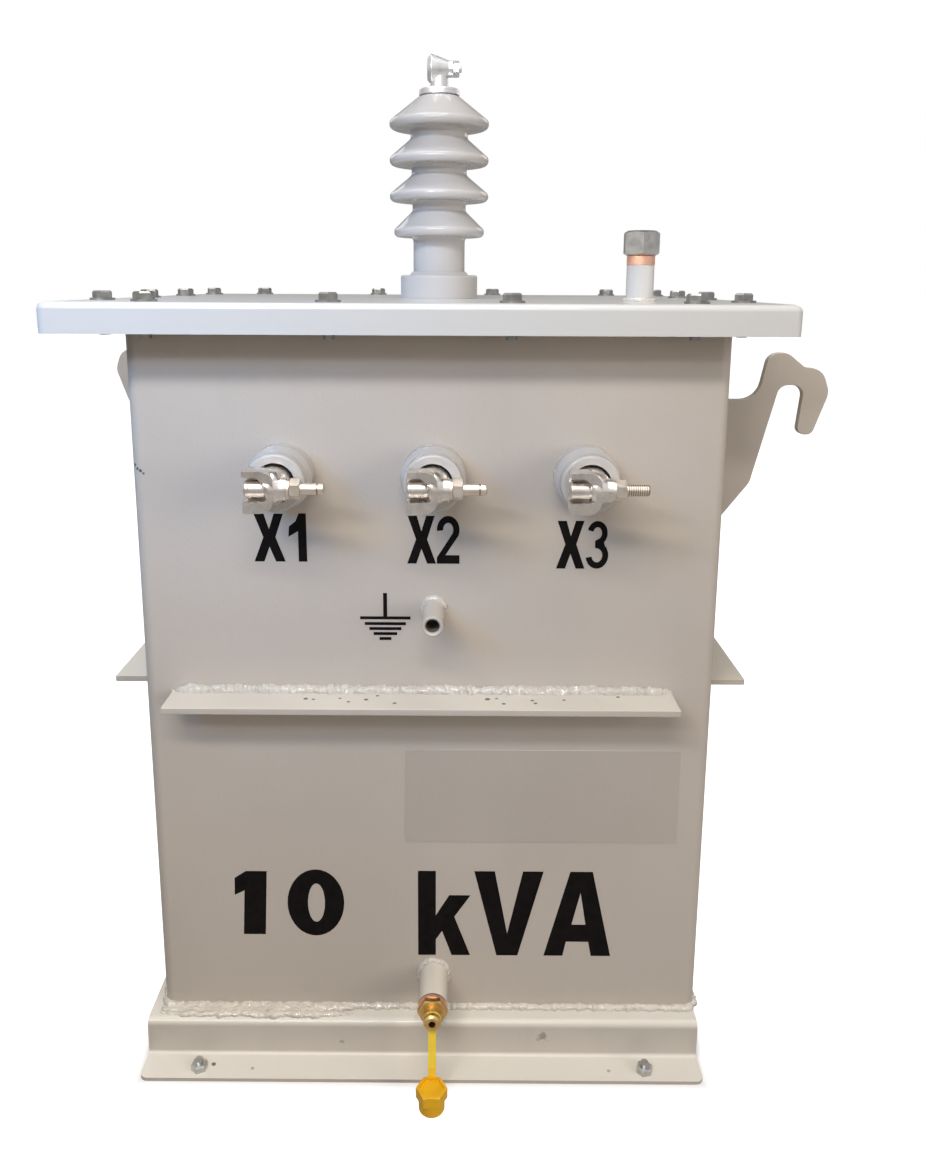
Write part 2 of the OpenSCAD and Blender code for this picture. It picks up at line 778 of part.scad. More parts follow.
// Low-voltage bushings and their clamp connectors
module lv_bushing(i) color(insulator) {
  on_front(lv_x(i), lv_z) turned([
    [0, -lv_below, 0],
    [lv_shank_d / 2, -lv_below, 0],
    [lv_shank_d / 2, 0, 0],
    [lv_foot_d / 2, 0, 0],
    [lv_foot_d / 2, lv_foot_l, lv_shoulder],
    [lv_ring_d / 2, lv_foot_l + lv_shoulder, lv_shoulder / 2],
    [lv_ring_d / 2, lv_reach, lv_edge],
    [lv_recess_d / 2, lv_reach, 0],
    [lv_recess_d / 2, lv_seat, 0],
    [0, lv_seat, 0]
  ]);
}

lv_cone_r = 6;
lv_axis_z = lv_reach + lv_axis;
lv_mouth_z = lv_axis_z - lv_mouth;
lv_mouth_r = lv_keeper_d / 2 + lv_gap;
lv_mouth_end = lv_eye_l - lv_eye_t;
lv_keeper_end = lv_mouth_end - lv_gap - lv_keeper_d / 2;

// Puts a shape drawn up the Z axis on a connector's clamp axis, pointing to the viewer's right
module on_clamp(i) {
  on_front(lv_x(i), lv_z) translate([0, 0, lv_axis_z]) rotate([0, 90, 0]) children();
}

// Jaw with square lips on the left and a round end, seen from the front
module lv_jaw_outline() {
  rounded_polygon([
    [-lv_jaw_l, -lv_jaw_down, lv_jaw_edge],
    [-lv_jaw_l, lv_jaw_up, lv_jaw_edge],
    [lv_eye_l, lv_jaw_up, lv_eye_r],
    [lv_eye_l, -lv_jaw_down, lv_eye_r]
  ]);
}

// Mouth of the jaw: it follows the keeper's round end and leaves a hollow over the keeper
module lv_mouth_outline() {
  top = lv_jaw_up - lv_lip;
  rounded_polygon([
    [-2 * lv_jaw_l, -lv_mouth_r, 0],
    [-2 * lv_jaw_l, top, 0],
    [lv_keeper_end - lv_gap, top, lv_mouth_edge],
    [lv_mouth_end, lv_mouth_r / 4, lv_mouth_edge],
    [lv_mouth_end, -lv_mouth_r, lv_keeper_d / 2 - lv_jaw_edge]
  ]);
}

// Cast body: a hub in the bushing, a jaw with a mouth for the keeper, and a cone to the boss under the nut
module lv_connector(i) color(aluminium) {
  difference() {
    union() {
      on_front(lv_x(i), lv_z) {
        bar_between(lv_hub_d, lv_seat, lv_axis_z - (lv_mouth + lv_jaw_back) / 2);
        translate([0, 0, lv_axis_z - lv_jaw_back])
          linear_extrude(lv_jaw_back + lv_jaw_front) lv_jaw_outline();
      }
      on_clamp(i) turned([
        [0, -lv_eye_l, 0],
        [lv_cone_d / 2, -lv_eye_l, 0],
        [lv_cone_d / 2, lv_eye_l / 4, lv_cone_r],
        [lv_boss_d / 2, lv_boss_l - lv_boss_seat, lv_boss_seat],
        [lv_boss_d / 2, lv_boss_l, 0],
        [0, lv_boss_l, 0]
      ]);
    }
    on_front(lv_x(i), lv_z) translate([0, 0, lv_mouth_z]) linear_extrude(lv_jaw_h) lv_mouth_outline();
    on_clamp(i) bar_between(lv_bolt_d + 2 * slide, lv_eye_l, 2 * lv_boss_l);
  }
}

// Half-round keeper on the floor of the mouth
module lv_keeper(i) color(aluminium) {
  intersection() {
    on_clamp(i) turned([
      [0, -lv_jaw_l, 0],
      [lv_keeper_d / 2, -lv_jaw_l, lv_jaw_edge],
      [lv_keeper_d / 2, lv_keeper_end + lv_keeper_d / 2, lv_keeper_d / 2 - lv_jaw_edge],
      [0, lv_keeper_end + lv_keeper_d / 2, 0]
    ]);
    on_front(lv_x(i), lv_z) translate([-lv_jaw_h, -lv_jaw_h, lv_mouth_z]) cube(2 * lv_jaw_h);
  }
}

// Clamp bolt with its spring washer and nut
module lv_clamp_bolt(i) color(zinc) {
  bolt_r = lv_bolt_d / 2;
  nut_z = lv_boss_l + lv_washer_h;
  tail = nut_z + lv_nut_h + lv_bolt_tail;
  on_clamp(i) {
    rotate_extrude() polygon([
      [0, lv_eye_l + past],
      [bolt_r, lv_eye_l + past],
      [bolt_r, lv_boss_l],
      [lv_washer_d / 2, lv_boss_l],
      [lv_washer_d / 2, nut_z],
      [bolt_r, nut_z],
      [bolt_r, tail - lv_bevel],
      [bolt_r - lv_bevel, tail],
      [0, tail]
    ]);
    translate([0, 0, nut_z]) rotate(lv_nut_turn) hexagon(lv_nut_af, lv_nut_h, true);
  }
}

module lv_bushing_1() lv_bushing(1);
module lv_bushing_2() lv_bushing(2);
module lv_bushing_3() lv_bushing(3);
module lv_connector_1() lv_connector(1);
module lv_connector_2() lv_connector(2);
module lv_connector_3() lv_connector(3);
module lv_keeper_1() lv_keeper(1);
module lv_keeper_2() lv_keeper(2);
module lv_keeper_3() lv_keeper(3);
module lv_clamp_bolt_1() lv_clamp_bolt(1);
module lv_clamp_bolt_2() lv_clamp_bolt(2);
module lv_clamp_bolt_3() lv_clamp_bolt(3);

// Earth boss and drain
module earth_boss() color(paint) {
  bore_z = earth_reach - earth_depth;
  on_front(fit_x, earth_z) rotate_extrude() polygon([
    [0, 0],
    [earth_d / 2, 0],
    [earth_d / 2, earth_reach - earth_bevel],
    [earth_d / 2 - earth_bevel, earth_reach],
    [earth_mouth / 2, earth_reach],
    [earth_bore / 2, earth_reach - (earth_mouth - earth_bore) / 2],
    [earth_bore / 2, bore_z],
    [0, bore_z]
  ]);
}

module drain_coupling() color(paint) {
  on_front(fit_x, drain_z) difference() {
    bar_between(drain_d, 0, drain_reach);
    bar_between(drain_bore, -past, drain_reach + past);
  }
}

module drain_washer() color(copper) {
  on_front(fit_x, drain_z) difference() {
    bar_between(drain_d - 2 * slide, drain_reach, drain_hex_z);
    bar_between(drain_bore, drain_reach - past, drain_hex_z + past);
  }
}

drain_hex_z = drain_reach + drain_seal;
drain_neck_z = drain_hex_z + drain_hex;
drain_groove_z = drain_neck_z + drain_neck;
drain_nose_z = drain_groove_z + drain_groove;
drain_tip = drain_nose_z + drain_nose;

// Valve body: a hexagon, and a turned nose with a groove behind it
module drain_valve() color(brass) {
  nose_r = drain_nose_d / 2;
  on_front(fit_x, drain_z) difference() {
    union() {
      translate([0, 0, drain_hex_z]) hexagon(drain_af, drain_hex);
      rotate_extrude() polygon([
        [0, drain_neck_z - past],
        [drain_neck_d / 2, drain_neck_z - past],
        [drain_neck_d / 2, drain_groove_z],
        [drain_groove_d / 2, drain_groove_z],
        [drain_groove_d / 2, drain_nose_z],
        [nose_r, drain_nose_z],
        [nose_r, drain_tip - drain_bevel],
        [nose_r - drain_bevel, drain_tip],
        [0, drain_tip]
      ]);
    }
    bar_between(drain_bore, drain_hex_z - past, drain_tip + past);
  }
}

// The strap's ring sits in the valve's groove, and its tail runs down to the back of the cap's head
strap_z = drain_groove_z + (drain_groove - strap_t) / 2;
strap_ring_r = drain_groove_d / 2 + slide;
dust_z = strap_z + dust_lean;
dust_top = dust_gap + dust_h;

module drain_strap() color(cap_yellow) {
  ring_w = drain_nose_d / 2 - strap_ring_r;
  start = -strap_ring_r - ring_w / 2;
  turn_out = start - strap_end;
  head_back = dust_z - dust_af / 2;
  end = dust_top - dust_head - drain_z;
  turn_down = dust_top + strap_end - drain_z;
  on_front(fit_x, drain_z) {
    difference() {
      bar_between(drain_nose_d, strap_z, strap_z + strap_t);
      bar_between(2 * strap_ring_r, strap_z - past, strap_z + strap_t + past);
    }
    rotate([90, 0, 90]) translate([0, 0, -strap_w / 2]) linear_extrude(strap_w) rounded_polygon([
      [start, strap_z, 0],
      [turn_out, strap_z, strap_bend],
      [turn_down, head_back - strap_t, strap_bend + strap_t],
      [end, head_back - strap_t, 0],
      [end, head_back, 0],
      [turn_down + strap_t, head_back, strap_bend],
      [turn_out + strap_t, strap_z + strap_t, strap_bend + strap_t],
      [start, strap_z + strap_t, 0]
    ]);
  }
}

// Dust cap: a hexagonal head with a recess, on a round skirt that is open below
module drain_cap() color(cap_yellow) {
  skirt_h = dust_h - dust_head;
  translate([fit_x, front - dust_z, dust_gap]) difference() {
    union() {
      turned([
        [0, 0, 0], [dust_d / 2, 0, dust_edge], [dust_d / 2, skirt_h, 0], [0, skirt_h, 0]
      ]);
      translate([0, 0, skirt_h - past]) hexagon(dust_af, dust_head + past);
    }
    translate([0, 0, dust_h - dust_dish])
      cylinder(d = hex_corner * (dust_af - 2 * dust_rim), h = dust_head, $fn = 6);
    bar_between(dust_bore, -past, skirt_h - dust_head / 2);
  }
}

tank_shell();
tank_floor();
tank_flange();
cover_gasket();
cover();
foot_front();
foot_back();
stiffener_front();
stiffener_back();
stiffener_left();
stiffener_right();
lifting_lug_left();
lifting_lug_right();
hv_collar();
hv_bushing();
hv_cap();
hv_terminal();
hv_clamp_bolt();
filler_pipe();
filler_washer();
filler_cap();
lv_bushing_1();
lv_bushing_2();
lv_bushing_3();
lv_connector_1();
lv_connector_2();
lv_connector_3();
lv_keeper_1();
lv_keeper_2();
lv_keeper_3();
lv_clamp_bolt_1();
lv_clamp_bolt_2();
lv_clamp_bolt_3();
earth_boss();
drain_coupling();
drain_washer();
drain_valve();
drain_strap();
drain_cap();
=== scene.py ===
import math

import bmesh
import bpy
from mathutils import Matrix, Vector


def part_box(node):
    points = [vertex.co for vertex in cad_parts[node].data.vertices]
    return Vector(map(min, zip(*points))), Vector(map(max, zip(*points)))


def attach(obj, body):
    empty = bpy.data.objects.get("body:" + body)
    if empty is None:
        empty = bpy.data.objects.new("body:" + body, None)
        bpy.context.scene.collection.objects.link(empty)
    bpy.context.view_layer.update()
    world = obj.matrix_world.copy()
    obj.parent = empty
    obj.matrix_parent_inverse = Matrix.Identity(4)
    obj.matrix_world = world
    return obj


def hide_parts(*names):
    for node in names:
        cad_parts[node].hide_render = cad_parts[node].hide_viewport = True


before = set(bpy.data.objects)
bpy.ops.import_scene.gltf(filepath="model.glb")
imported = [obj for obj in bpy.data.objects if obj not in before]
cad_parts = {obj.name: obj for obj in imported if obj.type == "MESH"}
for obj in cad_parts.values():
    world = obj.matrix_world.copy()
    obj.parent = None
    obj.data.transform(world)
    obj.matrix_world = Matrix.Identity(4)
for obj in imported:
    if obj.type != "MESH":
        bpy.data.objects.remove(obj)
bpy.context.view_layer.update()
mm = 0.001
print("frame loaded:", len(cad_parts), "solids")

# Planes that the added pieces stand on, read from the frame
tankLow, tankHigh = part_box("tank_shell")
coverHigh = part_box("cover")[1]
frontPlane = tankLow.y
coverTop = coverHigh.z


# Camera, where the photographer stood

cameraSet = {"place": (0.0275, -0.8844, 0.6229), "pitch": -11.344, "turn": 0.183, "roll": 0.256,
             "lens": 29.26, "shiftX": 0.0060, "shiftY": -0.0969}

lensData = bpy.data.cameras.new("camera")
lensData.lens = cameraSet["lens"]
lensData.sensor_width = 36
lensData.shift_x = cameraSet["shiftX"]
lensData.shift_y = cameraSet["shiftY"]
lensData.clip_start = 0.01
camera = bpy.data.objects.new("camera", lensData)
camera.location = cameraSet["place"]
aim = Matrix.Rotation(math.radians(cameraSet["turn"]), 3, "Z")
aim = aim @ Matrix.Rotation(math.radians(90 + cameraSet["pitch"]), 3, "X")
aim = aim @ Matrix.Rotation(math.radians(cameraSet["roll"]), 3, "Z")
camera.rotation_euler = aim.to_euler()
bpy.context.scene.collection.objects.link(camera)
bpy.context.scene.camera = camera
bpy.context.scene.view_settings.view_transform = "Standard"


# Shader building blocks

def addStep(tree, kind, links=None, values=None, **settings):
    node = tree.nodes.new(kind)
    for name, value in settings.items():
        setattr(node, name, value)
    for socket, value in (values or {}).items():
        node.inputs[socket].default_value = value
    for socket, source in (links or {}).items():
        tree.links.new(source, node.inputs[socket])
    return node


def addNode(tree, kind, values=None, **settings):
    return addStep(tree, "ShaderNode" + kind, None, values, **settings)


def newMaterial(name, roughness=0.5, metallic=0.0):
    material = bpy.data.materials.new(name)
    material.use_nodes = True
    shader = material.node_tree.nodes["Principled BSDF"]
    shader.inputs["Roughness"].default_value = roughness
    shader.inputs["Metallic"].default_value = metallic
    return material, material.node_tree, shader


def noiseOf(tree, scale, detail, stretch=(1, 1, 1)):
    coords = addNode(tree, "TexCoord")
    mapping = addNode(tree, "Mapping", {"Scale": stretch})
    pattern = addNode(tree, "TexNoise", {"Scale": scale, "Detail": detail})
    tree.links.new(coords.outputs["Object"], mapping.inputs["Vector"])
    tree.links.new(mapping.outputs["Vector"], pattern.inputs["Vector"])
    return pattern.outputs["Fac"]


def rampOf(tree, value, stops):
    ramp = addNode(tree, "ValToRGB")
    while len(ramp.color_ramp.elements) < len(stops):
        ramp.color_ramp.elements.new(1.0)
    for element, (place, colour) in zip(ramp.color_ramp.elements, stops):
        tone = colour if isinstance(colour, tuple) else (colour, colour, colour)
        element.position = place
        element.color = (*tone, 1)
    tree.links.new(value, ramp.inputs["Fac"])
    return ramp.outputs["Color"]


def mathOf(tree, operation, *terms):
    node = addNode(tree, "Math", operation=operation)
    for socket, value in zip(node.inputs, terms):
        if isinstance(value, (int, float)):
            socket.default_value = value
        else:
            tree.links.new(value, socket)
    return node.outputs["Value"]


def mixOf(tree, factor, under, over):
    node = addNode(tree, "Mix", data_type="RGBA")
    tree.links.new(factor, node.inputs[0])
    for socket, value in ((node.inputs[6], under), (node.inputs[7], over)):
        if isinstance(value, tuple):
            socket.default_value = (*value, 1)
        else:
            tree.links.new(value, socket)
    return node.outputs[2]


def bandOf(tree, axis, low, high, soft):
    coords = addNode(tree, "TexCoord")
    split = addNode(tree, "SeparateXYZ")
    tree.links.new(coords.outputs["Object"], split.inputs["Vector"])
    middle = (low + high) / 2
    away = mathOf(tree, "ABSOLUTE", mathOf(tree, "SUBTRACT", split.outputs[axis], middle))
    half = (high - low) / 2
    fade = addNode(tree, "MapRange", {"From Min": half + soft, "From Max": half})
    tree.links.new(away, fade.inputs["Value"])
    return fade.outputs["Result"]


spotEdge = {"noise": 260, "detail": 4, "inner": 0.8}


def spotOf(tree, centre, radius, ragged):
    coords = addNode(tree, "TexCoord")
    away = addNode(tree, "VectorMath", {1: centre}, operation="DISTANCE")
    tree.links.new(coords.outputs["Object"], away.inputs[0])
    distance = away.outputs["Value"]
    if ragged:
        wobble = mathOf(tree, "MULTIPLY", noiseOf(tree, spotEdge["noise"], spotEdge["detail"]), ragged)
        distance = mathOf(tree, "ADD", distance, wobble)
    fade = addNode(tree, "MapRange", {"From Min": radius, "From Max": radius * spotEdge["inner"]})
    tree.links.new(distance, fade.inputs["Value"])
    return fade.outputs["Result"]


dustAndTopLightFacing = {"none": 0.2, "full": 0.9}  # height of the normal where the pale tone (dust and painted light from above) begins and is strongest


def upwardDustAndLightOf(tree, amount):
    facing = addNode(tree, "NewGeometry")
    split = addNode(tree, "SeparateXYZ")
    tree.links.new(facing.outputs["Normal"], split.inputs["Vector"])
    fade = addNode(tree, "MapRange", {"From Min": dustAndTopLightFacing["none"], "From Max": dustAndTopLightFacing["full"],
                                      "To Max": amount})
    tree.links.new(split.outputs["Z"], fade.inputs["Value"])
    return fade.outputs["Result"]


def addBump(tree, shader, height, depth):
    bump = addNode(tree, "Bump", {"Strength": 1.0, "Distance": depth})
    tree.links.new(height, bump.inputs["Height"])
    if shader.inputs["Normal"].is_linked:
        tree.links.new(shader.inputs["Normal"].links[0].from_socket, bump.inputs["Normal"])
    tree.links.new(bump.outputs["Normal"], shader.inputs["Normal"])


def addGloss(tree, shader, pattern, smooth, rough, start=0.3):
    gloss = rampOf(tree, pattern, [(start, smooth), (0.7, rough)])
    tree.links.new(gloss, shader.inputs["Roughness"])


# Finishes, with the noise scales that each kind shares

paintKind = {"grime": 26, "run": (1, 1, 0.15), "gloss": 34, "wave": 9, "peel": 420, "coatRoughness": 0.12}


def paintFinish(name, look):
    material, tree, shader = newMaterial(name)
    clouds = noiseOf(tree, look["cloudScale"], 4)
    colour = rampOf(tree, clouds, [(0.38, look["dark"]), (0.62, look["light"])])
    runs = noiseOf(tree, paintKind["grime"], 6, paintKind["run"])
    grime = rampOf(tree, runs, [(0.56, 0.0), (0.80, look["grime"])])
    colour = mixOf(tree, grime, colour, look["grimeColour"])
    # Upward faces blend toward a pale tone: partly dust, partly painted light from above
    colour = mixOf(tree, upwardDustAndLightOf(tree, look["dust"]), colour, look["dustAndTopLightColour"])
    # Chips, scuffs and dots in the paint, and the painted shade inside the boss's bore
    for centre, radius, ragged, strength in look["chipsAndBoreShade"]:
        mask = mathOf(tree, "MULTIPLY", spotOf(tree, centre, radius, ragged), strength)
        colour = mixOf(tree, mask, colour, look["chipAndBoreShadeColour"])
    tree.links.new(colour, shader.inputs["Base Color"])
    addGloss(tree, shader, noiseOf(tree, paintKind["gloss"], 5),
             look["roughness"] - look["mottle"], look["roughness"] + look["mottle"])
    shader.inputs["Coat Weight"].default_value = look["coat"]
    shader.inputs["Coat Roughness"].default_value = paintKind["coatRoughness"]
    addBump(tree, shader, noiseOf(tree, paintKind["wave"], 3), look["wave"])
    addBump(tree, shader, noiseOf(tree, paintKind["peel"], 2), look["peel"])
    return material


metalKind = {"tarnish": 45, "gloss": 130, "ringSoft": 0.15 * mm}


def metalFinish(name, look):
    material, tree, shader = newMaterial(name, look["roughness"], 1.0)
    grain = noiseOf(tree, look["grain"], 5, look.get("stretch", (1, 1, 1)))
    colour = rampOf(tree, grain, [(0.35, look["dark"]), (0.65, look["light"])])
    tarnish = rampOf(tree, noiseOf(tree, metalKind["tarnish"], 5), [(0.50, 0.0), (0.78, look["tarnish"])])
    colour = mixOf(tree, tarnish, colour, look["tarnishColour"])
    for axis, low, high, ringColour in look.get("rings", []):
        ring = bandOf(tree, axis, low * mm, high * mm, metalKind["ringSoft"])
        colour = mixOf(tree, ring, colour, ringColour)
    tree.links.new(colour, shader.inputs["Base Color"])
    addGloss(tree, shader, noiseOf(tree, metalKind["gloss"], 4),
             look["roughness"] - look["spread"], look["roughness"] + look["spread"])
    addBump(tree, shader, noiseOf(tree, look["pits"], 3), look["pitDepth"])
    return material


glazeKind = {"clouds": 30, "dust": 90, "dustMost": 0.25, "gloss": 60, "smoother": 0.04, "rougher": 0.1,
             "coat": 0.6, "coatRoughness": 0.06, "ripple": 40, "rippleDepth": 0.4 * mm}


def glazeFinish(name, look):
    material, tree, shader = newMaterial(name)
    clouds = noiseOf(tree, glazeKind["clouds"], 4)
    colour = rampOf(tree, clouds, [(0.35, look["dark"]), (0.65, look["light"])])
    dust = rampOf(tree, noiseOf(tree, glazeKind["dust"], 5), [(0.58, 0.0), (0.85, glazeKind["dustMost"])])
    tree.links.new(mixOf(tree, dust, colour, look["dust"]), shader.inputs["Base Color"])
    addGloss(tree, shader, noiseOf(tree, glazeKind["gloss"], 4),
             look["roughness"] - glazeKind["smoother"], look["roughness"] + glazeKind["rougher"], 0.35)
    shader.inputs["Coat Weight"].default_value = glazeKind["coat"]
    shader.inputs["Coat Roughness"].default_value = glazeKind["coatRoughness"]
    addBump(tree, shader, noiseOf(tree, glazeKind["ripple"], 2), glazeKind["rippleDepth"])
    return material


plasticKind = {"clouds": 120, "gloss": 200, "smoother": 0.05, "rougher": 0.1, "grain": 700,
               "grainDepth": 0.1 * mm, "scatterRadius": (4 * mm, 2 * mm, 0.5 * mm)}


def plasticFinish(name, look):
    material, tree, shader = newMaterial(name)
    clouds = noiseOf(tree, plasticKind["clouds"], 4)
    colour = rampOf(tree, clouds, [(0.3, look["dark"]), (0.7, look["light"])])
    tree.links.new(colour, shader.inputs["Base Color"])
    addGloss(tree, shader, noiseOf(tree, plasticKind["gloss"], 3),
             look["roughness"] - plasticKind["smoother"], look["roughness"] + plasticKind["rougher"])
    shader.inputs["Specular IOR Level"].default_value = look.get("specular", 0.5)
    shader.inputs["Subsurface Weight"].default_value = look.get("scatter", 0.0)
    shader.inputs["Subsurface Radius"].default_value = plasticKind["scatterRadius"]
    addBump(tree, shader, noiseOf(tree, plasticKind["grain"], 2), plasticKind["grainDepth"])
    return material


# Chips in the paint, and painted shade inside the earth boss's bore: centre and radius in metres, raggedness
# of the edge and strength
tankScratch = [((-0.2135, -0.192, 0.4895), 0.0036, 0.0020, 1.0),
               ((-0.2105, -0.193, 0.4868), 0.0026, 0.0014, 1.0),
               ((-0.2078, -0.193, 0.4855), 0.0020, 0.0010, 1.0),
               ((-0.2055, -0.193, 0.4835), 0.0016, 0.0008, 0.8)]
footScuffs = [((0.097, -0.2105, 0.019), 0.012, 0.016, 0.55), ((-0.066, -0.2105, 0.014), 0.005, 0.006, 0.4),
              ((-0.168, -0.222, 0.003), 0.0035, 0.003, 0.9), ((-0.136, -0.226, 0.003), 0.0022, 0.001, 0.5),
              ((0.150, -0.226, 0.003), 0.0022, 0.001, 0.5)]
# Painted shade: near-black discs at four depths down the earth boss's bore
bossBoreShade = [((0.009, y * mm, 0.38), 0.0062, 0.0, 0.97) for y in (-227.5, -222, -216, -211)]

# Dark dots on the front bar: place along it, place across it and radius in millimetres
barDots = ((-88, -207, 2.4), (-82, -208, 1.7), (-62, -206, 1.7), (-55, -212, 1.7), (-42, -208, 2.3),
           (-34, -201, 1.9), (-20, -214, 2.0), (50, -206, 2.8), (57, -205, 1.7), (62, -214, 2.1),
           (84, -208, 1.9), (86, -213, 1.9), (108, -207, 1.7), (150, -201, 2.0))
barTop = 0.3125
barChips = [((x * mm, y * mm, barTop), radius * mm, radius * mm / 3, 0.95) for x, y, radius in barDots]

# The dust amount and its colour lift upward faces toward a pale tone: partly dust, partly painted light from
# above
tankLook = {"dark": (0.525, 0.468, 0.412), "light": (0.56, 0.50, 0.443), "cloudScale": 4.5,
            "grime": 0.25, "grimeColour": (0.45, 0.41, 0.36), "chipAndBoreShadeColour": (0.09, 0.08, 0.075),
            "dust": 0.85, "dustAndTopLightColour": (0.84, 0.775, 0.67),
            "roughness": 0.34, "mottle": 0.02, "coat": 0.25, "wave": 0.0012, "peel": 0.00015,
            "chipsAndBoreShade": tankScratch}
coverLook = dict(tankLook, dark=(0.61, 0.60, 0.585), light=(0.63, 0.62, 0.605), grime=0.0, roughness=0.3,
                 mottle=0.015, coat=0.3, wave=0.0003, peel=0.00005, dust=0.0, chipsAndBoreShade=[])
collarLook = dict(coverLook, dark=(0.51, 0.48, 0.46), light=(0.54, 0.51, 0.49), roughness=0.36, coat=0.15)
# The welds take a lighter copy of the tank paint: painted light
litWeldLook = dict(tankLook, dark=(0.55, 0.50, 0.445), light=(0.62, 0.57, 0.51), grime=0.3, roughness=0.18,
                coat=0.9, wave=0.0004, peel=0.0009, dust=0.6, chipsAndBoreShade=[])
litBarWeldLook = dict(litWeldLook, dust=0.3, roughness=0.2, coat=0.8, peel=0.0014)
plateLook = dict(tankLook, dark=(0.465, 0.412, 0.362), light=(0.50, 0.445, 0.393), chipsAndBoreShade=[])
# The feet take a lighter copy of the tank paint with a paler top tone: painted light
litFootLook = dict(tankLook, dark=(0.56, 0.512, 0.457), light=(0.595, 0.547, 0.49),
                dustAndTopLightColour=(0.87, 0.825, 0.74), chipsAndBoreShade=footScuffs)
barLook = dict(tankLook, dust=0.7, chipsAndBoreShade=barChips)
bossLook = dict(tankLook, dust=0.3, chipsAndBoreShade=bossBoreShade)

tankPaint = paintFinish("tankPaint", tankLook)
coverPaint = paintFinish("coverPaint", coverLook)
collarPaint = paintFinish("collarPaint", collarLook)
litWeldPaint = paintFinish("litWeldPaint", litWeldLook)
litBarWeldPaint = paintFinish("litBarWeldPaint", litBarWeldLook)
platePaint = paintFinish("platePaint", plateLook)
litFootPaint = paintFinish("litFootPaint", litFootLook)
barPaint = paintFinish("barPaint", barLook)
bossPaint = paintFinish("bossPaint", bossLook)
glaze = glazeFinish("glaze", {"dark": (0.52, 0.495, 0.48), "light": (0.56, 0.535, 0.52),
                              "dust": (0.50, 0.47, 0.45), "roughness": 0.13})
lowGlaze = glazeFinish("lowGlaze", {"dark": (0.49, 0.465, 0.44), "light": (0.54, 0.515, 0.49),
                                    "dust": (0.50, 0.47, 0.43), "roughness": 0.2})
brightCast = metalFinish("brightCast", {"dark": (0.76, 0.76, 0.775), "light": (0.86, 0.86, 0.875),
                                        "grain": 120, "tarnish": 0.2, "tarnishColour": (0.70, 0.70, 0.70),
                                        "roughness": 0.42, "spread": 0.06, "pits": 320, "pitDepth": 0.00005})
aluminium = metalFinish("aluminium", {"dark": (0.72, 0.675, 0.635), "light": (0.86, 0.82, 0.78), "grain": 110,
                                      "tarnish": 0.5, "tarnishColour": (0.50, 0.45, 0.40), "roughness": 0.30,
                                      "spread": 0.06, "pits": 260, "pitDepth": 0.00008})
zinc = metalFinish("zinc", {"dark": (0.46, 0.46, 0.45), "light": (0.60, 0.60, 0.58), "grain": 160,
                            "tarnish": 0.35, "tarnishColour": (0.50, 0.47, 0.42), "roughness": 0.34,
                            "spread": 0.06, "pits": 400, "pitDepth": 0.00004})
boltZinc = metalFinish("boltZinc", {"dark": (0.27, 0.27, 0.265), "light": (0.40, 0.40, 0.385), "grain": 160,
                                    "tarnish": 0.4, "tarnishColour": (0.22, 0.20, 0.18), "roughness": 0.36,
                                    "spread": 0.06, "pits": 400, "pitDepth": 0.00004})
# Painted shade of the grooves near the ends of the first two bolt tails and of the thread on the third, in
# millimetres along X
tailGrooveShade = {"starts": (-70, 41.5), "width": 0.9, "colour": (0.30, 0.22, 0.17)}
tailThreadShade = {"starts": [143.5 + 1.5 * turn for turn in range(10)], "width": 0.6,
              "colour": (0.34, 0.27, 0.21)}
tailShadeRings = [("X", start, start + cut["width"], cut["colour"]) for cut in (tailGrooveShade, tailThreadShade)
             for start in cut["starts"]]
creamZinc = metalFinish("creamZinc", {"rings": tailShadeRings,
                                      "dark": (0.72, 0.65, 0.57), "light": (0.83, 0.77, 0.69), "grain": 160,
                                      "tarnish": 0.4, "tarnishColour": (0.55, 0.45, 0.36), "roughness": 0.38,
                                      "spread": 0.05, "pits": 400, "pitDepth": 0.00003})
brass = metalFinish("brass", {"dark": (0.64, 0.41, 0.15), "light": (0.78, 0.55, 0.24), "grain": 200,
                              "stretch": (1, 8, 1), "tarnish": 0.3, "tarnishColour": (0.42, 0.27, 0.12),
                              "roughness": 0.38, "spread": 0.05, "pits": 500, "pitDepth": 0.00003})
copper = metalFinish("copper", {"rings": [("Y", -229.8, -228.5, (0.22, 0.09, 0.05))],
                                "dark": (0.90, 0.50, 0.36), "light": (0.97, 0.62, 0.48), "grain": 220,
                                "tarnish": 0.2, "tarnishColour": (0.60, 0.32, 0.22), "roughness": 0.52,
                                "spread": 0.05, "pits": 500, "pitDepth": 0.00003})
yellow = plasticFinish("yellowCap", {"dark": (0.84, 0.44, 0.006), "light": (0.90, 0.50, 0.010),
                                     "roughness": 0.42, "scatter": 0.1})
strapYellow = plasticFinish("strapYellow", {"dark": (0.95, 0.66, 0.045), "light": (1.0, 0.74, 0.07),
                                            "roughness": 0.40, "scatter": 0.1})
rubber = plasticFinish("gasketRubber", {"dark": (0.020, 0.019, 0.018), "light": (0.045, 0.042, 0.040),
                                        "roughness": 0.7})
ink = plasticFinish("blackInk", {"dark": (0.006, 0.005, 0.005), "light": (0.010, 0.008, 0.008),
                                 "roughness": 0.7, "specular": 0.06})
print("finishes made:", len(bpy.data.materials))


# Turning meshes into finished pieces

def newPiece(name, mesh):
    piece = bpy.data.objects.new(name, mesh)
    bpy.context.scene.collection.objects.link(piece)
    return piece


def evaluatedMesh(piece):
    bpy.context.view_layer.update()
    graph = bpy.context.evaluated_depsgraph_get()
    return bpy.data.meshes.new_from_object(piece.evaluated_get(graph))


def bakeModifiers(piece):
    mesh = evaluatedMesh(piece)
    piece.modifiers.clear()
    piece.data = mesh


def smoothByAngle(piece, degrees):
    piece.data.shade_smooth()
    piece.data.set_sharp_from_angle(angle=math.radians(degrees))


